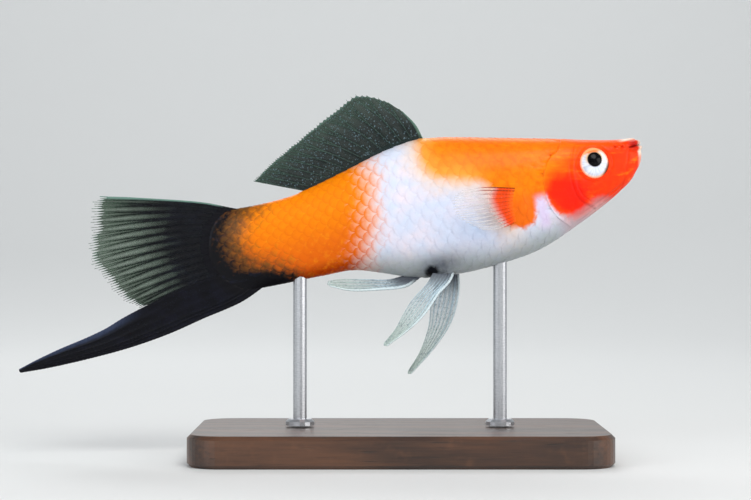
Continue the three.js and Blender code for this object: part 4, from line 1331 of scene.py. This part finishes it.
class SWORDTAIL_OT_eyes(bpy.types.Operator):
    """Make both eyes"""

    bl_idname = "swordtail.eyes"
    bl_label = "Eyes"

    def execute(self, context):
        look = context.scene.swordtail_eyes
        pupil, around, in_front, behind = look.pupil / MM, 96, 46, 9
        turn = np.linspace(0, 2 * math.pi, around, endpoint=False)[None]
        out = np.concatenate([np.linspace(0.03, 1, in_front),
                              np.cos(np.linspace(0.15, math.pi / 2 - 0.03, behind))])[:, None]
        along, up, ball, _ = np.broadcast_arrays(
            out * EYE_RADIUS * np.cos(turn), out * EYE_RADIUS * np.sin(turn), out * EYE_RADIUS, turn)
        pupil_gap = np.hypot(along, up - look.pupil_rise / MM) - pupil
        high = np.sqrt(np.clip(1 - out**2, 0, 1)) * EYE_HALF_DEPTH
        lens = look.bulge / MM * np.sqrt(np.clip(-pupil_gap / pupil, 0, 1)) ** 0.8
        iris = 0.05 * hump(pupil_gap - 0.14, 0.1) - 0.07 * hump(ball - 2.0, 0.14)
        front = (np.arange(len(out)) < in_front)[:, None]
        outward = EYE_PROUD - EYE_HALF_DEPTH + np.where(front, high + lens + iris, -high)

        grid = {"pupil_gap": pupil_gap, "ball": ball, "up": up, "toward_jaw": along * 0.8 - up * 0.6}
        fields = {key: np.append(value.ravel(), [value[0].mean(), value[-1].mean()])
                  for key, value in grid.items()}
        spokes = np.stack(np.broadcast_arrays(np.cos(turn), np.sin(turn), ball * 0.06), -1)
        fields["spokes"] = np.concatenate([spokes.reshape(-1, 3), [(0, 0, 0), (0, 0, 1)]])
        ring, rings = np.arange(around), len(out)
        front_tip, last = rings * around, (rings - 1) * around
        tube = quads(rings, around, wrap=True)
        caps = np.concatenate([fan(ring, front_tip), fan(last + ring, front_tip + 1)[:, [0, 2, 1]]])
        for side, sign in SIDES:
            points = np.stack([along, sign * outward, up], -1) @ eye_turn(sign).T
            points = points + fish(EYE_PLACE[0], sign * surface_y(*EYE_PLACE), EYE_PLACE[1])
            every_point = np.concatenate([points.reshape(-1, 3), [points[0].mean(0), points[-1].mean(0)]])
            faces = (tube, caps)
            if not faces_outward(every_point, tube):
                faces = (tube[:, ::-1], caps[:, ::-1])
            mesh = mesh_from("eye_" + side, to_row(every_point), faces, fields)
            mesh.materials.append(material("fish_eye", eye_feeds))
            finished(linked("eyeball_" + side, mesh), "eye", "eye_" + side)
        return {"FINISHED"}


def eye_turn(sign):
    """The shortest turn from straight out to the side to square with the head at the eye."""
    step = 0.2
    behind, height = EYE_PLACE
    ahead, rear = surface_y(behind - step, height), surface_y(behind + step, height)
    above, below = surface_y(behind, height + step), surface_y(behind, height - step)
    square = unit(np.array([(rear - ahead) / (2 * step), sign, (below - above) / (2 * step)]))
    x, y, z = np.cross((0, sign, 0), square)
    cross = np.array([[0, -z, y], [z, 0, -x], [-y, x, 0]])
    return np.eye(3) + cross + cross @ cross / (1 + sign * square[1])


class SWORDTAIL_OT_middle_fins(bpy.types.Operator):
    """Make the dorsal fin, the tail fin, the sword and the rod-like anal fin"""

    bl_idname = "swordtail.middle_fins"
    bl_label = "Dorsal Fin, Tail Fin and Sword"

    def execute(self, context):
        root = [(at, float(back_at(at)) + 0.34) for at in np.linspace(33.7, 54.6, 10)]
        edge = [(35.9, 14.1), (38.6, 16.6), (42.6, 18.2), (46.1, 16.7), (49.9, 14.9), (53.9, 12.9),
                (58.6, 10.4), (61.6, 8.5)]
        dorsal = Fin(root, edge, [(34.3, 11.5)], [(58.1, 6.9)],
                     sway=lambda behind, across, along: 0.9 * along**2 * np.sin(across * 2.6))
        laid_back = [0, 0.1, 0.2, 0.4, 0.6, 0.8, 1], [0, 0.17, 0.33, 0.57, 0.75, 0.89, 1]
        make_fin("dorsal_fin", "dorsal", "clear_fin", dorsal, (200, 60), 3,
                 {"rays": 14, "forks": (0.4, 0.7), "plain": (0,), "tips": 0.02, "laid_back": laid_back},
                 sink=0.1, notch=0.025, ragged=0.02, ray_scale=0.8)

        edge = [(86.1, 11.6), (87.5, 10.2), (88.3, 6.9), (89.5, 3.9), (89.5, 1.4), (88.2, -1.2),
                (87, -3.7), (85.6, -5.7), (83.4, -7.4)]
        caudal = Fin(tail_root(0.12, 0.7), edge, [(70, 6.9), (78, 9.4)], [(77, -6.0)], sway=tail_sway)
        make_fin("caudal_fin", "caudal", "black_fin", caudal, (230, 70), 5,
                 {"rays": 14, "forks": (0.34, 0.66), "tips": 0.03},
                 sink=0.07, notch=0.07, ragged=0.03, ray_scale=0.95, thick=1.3)

        root = tail_root(0.692, 0.9) + [(65.3, -8.25), (64.2, -8.4)]
        edge = [(105.3, -12.6), (105.35, -12.8), (105.2, -13.05)]
        first = [(77, -5.84), (83.4, -7.32), (87.2, -8.35), (90, -9.3), (93.6, -10.1), (97.7, -10.8),
                 (101.9, -11.7)]
        last = [(66.3, -9.3), (67.9, -9.85), (70.5, -10.4), (73.8, -10.95), (80.1, -12.2), (86.3, -12.95),
                (92.3, -13.25), (100.3, -13.3)]
        make_fin("sword", "sword", "black_fin", Fin(root, edge, first, last, sway=tail_sway), (40, 120), 7,
                 {"rays": 6, "plain": range(6)}, sink=0.03, ray_scale=1.5, thick=3.4)

        root = [(39.3, -12.4), (40.6, -12.3), (41.9, -11.7)]
        edge = [(53.4, -10.6), (53.8, -10.2), (53.5, -9.75)]
        anal = Fin(root, edge, [(41.5, -13.3), (46, -12.85), (50.5, -11.95)],
                   [(44, -11.75), (48, -10.75), (51.5, -9.95)])
        make_fin("gonopodium", "clear", "clear_fin", anal, (30, 60), 9,
                 {"rays": 5, "plain": range(5), "strong": (0,), "weak": 0.7},
                 sink=0.05, ray_scale=1.35, thick=2.2)
        return {"FINISHED"}


PELVIC = {
    "right": {"root": (33.2, 34.7, 36.4), "edge": [(46.6, -21.7, 5.4), (47.1, -21.6, 5.4), (47, -21.2, 5.2)],
              "first": [(34.6, -14, 2.4), (36.9, -15.6, 3.1), (39.6, -18.1, 4.1), (42.7, -20, 4.9)],
              "last": [(38.3, -13.7, 2.5), (41.1, -15.6, 3.3), (43, -17.5, 4.2), (44.8, -19.5, 4.9)]},
    "left": {"root": (32.8, 34.2, 35.8), "edge": [(43.9, -27.5, 5.2), (44.4, -27.4, 5.2), (44.3, -27, 5)],
             "first": [(33.1, -14.8, 2.3), (34.3, -18.3, 3.1), (36.2, -21.3, 4.1), (39.8, -24.6, 4.8)],
             "last": [(36.9, -14, 2.4), (38.3, -17.2, 3.3), (39.4, -20.6, 4.1), (41.6, -24.2, 4.8)]},
}
PECTORAL = {
    "root": [(20.4, -2.3), (21.3, -4.6), (21.8, -6.9)],
    "edge": [(29.6, -0.6, 11.2), (31.2, -1.4, 12), (31.8, -3.2, 12.1), (30.6, -5.3, 11.2), (28.2, -7.2, 9.4)],
    "first": [(22.6, -1.7, 6.3), (26, -0.9, 8.9)], "last": [(23.6, -7.5, 6), (25.8, -7.7, 7.6)],
}


class SWORDTAIL_OT_paired_fins(bpy.types.Operator):
    """Make the pectoral and pelvic fins"""

    bl_idname = "swordtail.paired_fins"
    bl_label = "Pectoral and Pelvic Fins"

    def execute(self, context):
        for side, sign in SIDES:

            def fin(root, table):
                outline = (root, table["edge"], table["first"], table["last"])
                return Fin(*([(at, z, y * sign) for at, z, y in points] for points in outline))

            table = PELVIC[side]
            root = [(at, float(belly_at(at)) + 1.3, 1.6) for at in table["root"]]
            make_fin("pelvic_fin_" + side, "clear", "clear_fin", fin(root, table), (80, 80), 11 + sign,
                     {"rays": 7, "forks": (0.38, 2), "plain": (0, 1), "strong": (0, 1), "weak": 0.62},
                     notch=0.03, ragged=0.02)
            root = [(at, z, float(surface_y(at, z)) - 0.6) for at, z in PECTORAL["root"]]
            make_fin("pectoral_fin_" + side, "pectoral", "clear_fin", fin(root, PECTORAL), (120, 50),
                     15 + sign, {"rays": 12, "forks": (0.45, 2), "plain": (0,), "tips": 0.03},
                     notch=0.05, ragged=0.02, ray_scale=0.6)
        return {"FINISHED"}


class SWORDTAIL_OT_stand(bpy.types.Operator):
    """Finish the stand's base and rods"""

    bl_idname = "swordtail.stand"
    bl_label = "Stand"

    def execute(self, context):
        for node, name, feeds in (("stand_base", "stained_wood", wood_feeds),
                                  ("stand_rod_front", "brushed_steel", steel_feeds),
                                  ("stand_rod_rear", "brushed_steel", steel_feeds)):
            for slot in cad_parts[node].material_slots:
                slot.material = material(name, feeds)
        return {"FINISHED"}


def lamp(name, kind, place, power, tint=(1, 1, 1)):
    """A light that the camera doesn't see, aimed at the fish. place is in millimetres."""
    light = bpy.data.lights.new(name, kind)
    light.energy, light.color = power, tint
    holder = linked(name, light)
    holder.location = [c * MM for c in place]
    holder.rotation_mode = "QUATERNION"
    holder.rotation_quaternion = Vector(np.array(FISH_MIDDLE) - place).to_track_quat("-Z", "Y")
    holder.visible_camera = False
    return light


class SWORDTAIL_OT_stage(bpy.types.Operator):
    """Set up the floor, the backdrop, the lights and the camera"""

    bl_idname = "swordtail.stage"
    bl_label = "Stage"

    def execute(self, context):
        scene, look = context.scene, context.scene.swordtail_stage
        floor, bend, top, around = 380, 760, 1100, 96
        turn = np.linspace(0, 2 * math.pi, around, endpoint=False)
        rise = np.linspace(0, math.pi / 2, 24)[1:]
        r = np.array([0.05, 180, floor, *(floor + bend * np.sin(rise)), floor + bend])[:, None]
        z = np.array([0, 0, 0, *(bend * (1 - np.cos(rise))), top])[:, None]
        points = np.stack(np.broadcast_arrays(r * np.cos(turn), r * np.sin(turn), z), -1)
        bowl = mesh_from("backdrop", points * MM, quads(len(r), around, wrap=True))
        bowl.materials.append(material("pale_backdrop", stage_feeds(tuple(look.floor))))
        linked("backdrop", bowl)

        for name, place, size, share, tint in (
            ("key_light", (130, -380, 430), 320, 1, (1, 0.985, 0.96)),
            ("fill_light", (-330, -330, 170), 300, 0.42, (0.95, 0.97, 1)),
            ("front_light", (330, -200, 120), 220, 0.3, (1, 0.98, 0.95)),
            ("back_light", (-90, 340, 330), 300, 0.24, (1, 1, 1)),
        ):
            light = lamp(name, "AREA", place, look.key * share, tint)
            light.shape, light.size = "DISK", size * MM
        lamp("wall_light", "POINT", (0, 560, 600), look.key * 3.0).shadow_soft_size = 220 * MM

        world = bpy.data.worlds.new("soft_room")
        world.use_nodes = True
        sky = world.node_tree.nodes["Background"].inputs
        sky["Color"].default_value, sky["Strength"].default_value = (0.93, 0.95, 1, 1), 0.32
        scene.world = world
        scene.view_settings.view_transform = "Standard"

        camera = bpy.data.cameras.new("camera")
        camera.lens, camera.sensor_width = look.lens, 36
        camera.clip_start, camera.clip_end = 0.01, 20
        holder = linked("camera", camera)
        holder.location = [c * MM for c in CAMERA_PLACE]
        holder.rotation_euler = (math.pi / 2, 0, 0)
        scene.camera = holder
        return {"FINISHED"}


class SWORDTAIL_PT_panel(bpy.types.Panel):
    """Lists what makes the display model"""

    bl_idname = "SWORDTAIL_PT_panel"
    bl_label = "Swordtail"
    bl_space_type = "VIEW_3D"
    bl_region_type = "UI"
    bl_category = "Swordtail"

    def draw(self, context):
        for operator in OPERATORS:
            self.layout.operator(operator.bl_idname)
        for name, group in GROUPS.items():
            box = self.layout.box()
            box.label(text=name.removeprefix("swordtail_").title())
            for prop in group.__annotations__:
                box.prop(getattr(context.scene, name), prop)


OPERATORS = (SWORDTAIL_OT_skin, SWORDTAIL_OT_scales, SWORDTAIL_OT_eyes, SWORDTAIL_OT_middle_fins,
             SWORDTAIL_OT_paired_fins, SWORDTAIL_OT_stand, SWORDTAIL_OT_stage)
GROUPS = {"swordtail_skin": SwordtailSkin, "swordtail_scales": SwordtailScales,
          "swordtail_eyes": SwordtailEyes, "swordtail_fins": SwordtailFins,
          "swordtail_stand": SwordtailStand, "swordtail_stage": SwordtailStage}


def register():
    for group in GROUPS.values():
        bpy.utils.register_class(group)
    for name, group in GROUPS.items():
        setattr(bpy.types.Scene, name, bpy.props.PointerProperty(type=group))
    for operator in (*OPERATORS, SWORDTAIL_PT_panel):
        bpy.utils.register_class(operator)


def unregister():
    for operator in (SWORDTAIL_PT_panel, *reversed(OPERATORS)):
        bpy.utils.unregister_class(operator)
    for name in GROUPS:
        delattr(bpy.types.Scene, name)
    for group in reversed(GROUPS.values()):
        bpy.utils.unregister_class(group)


def main():
    register()
    bpy.ops.swordtail.skin()
    bpy.ops.swordtail.scales()
    bpy.ops.swordtail.eyes()
    bpy.ops.swordtail.middle_fins()
    bpy.ops.swordtail.paired_fins()
    bpy.ops.swordtail.stand()
    bpy.ops.swordtail.stage()


if __name__ == "__main__":
    main()
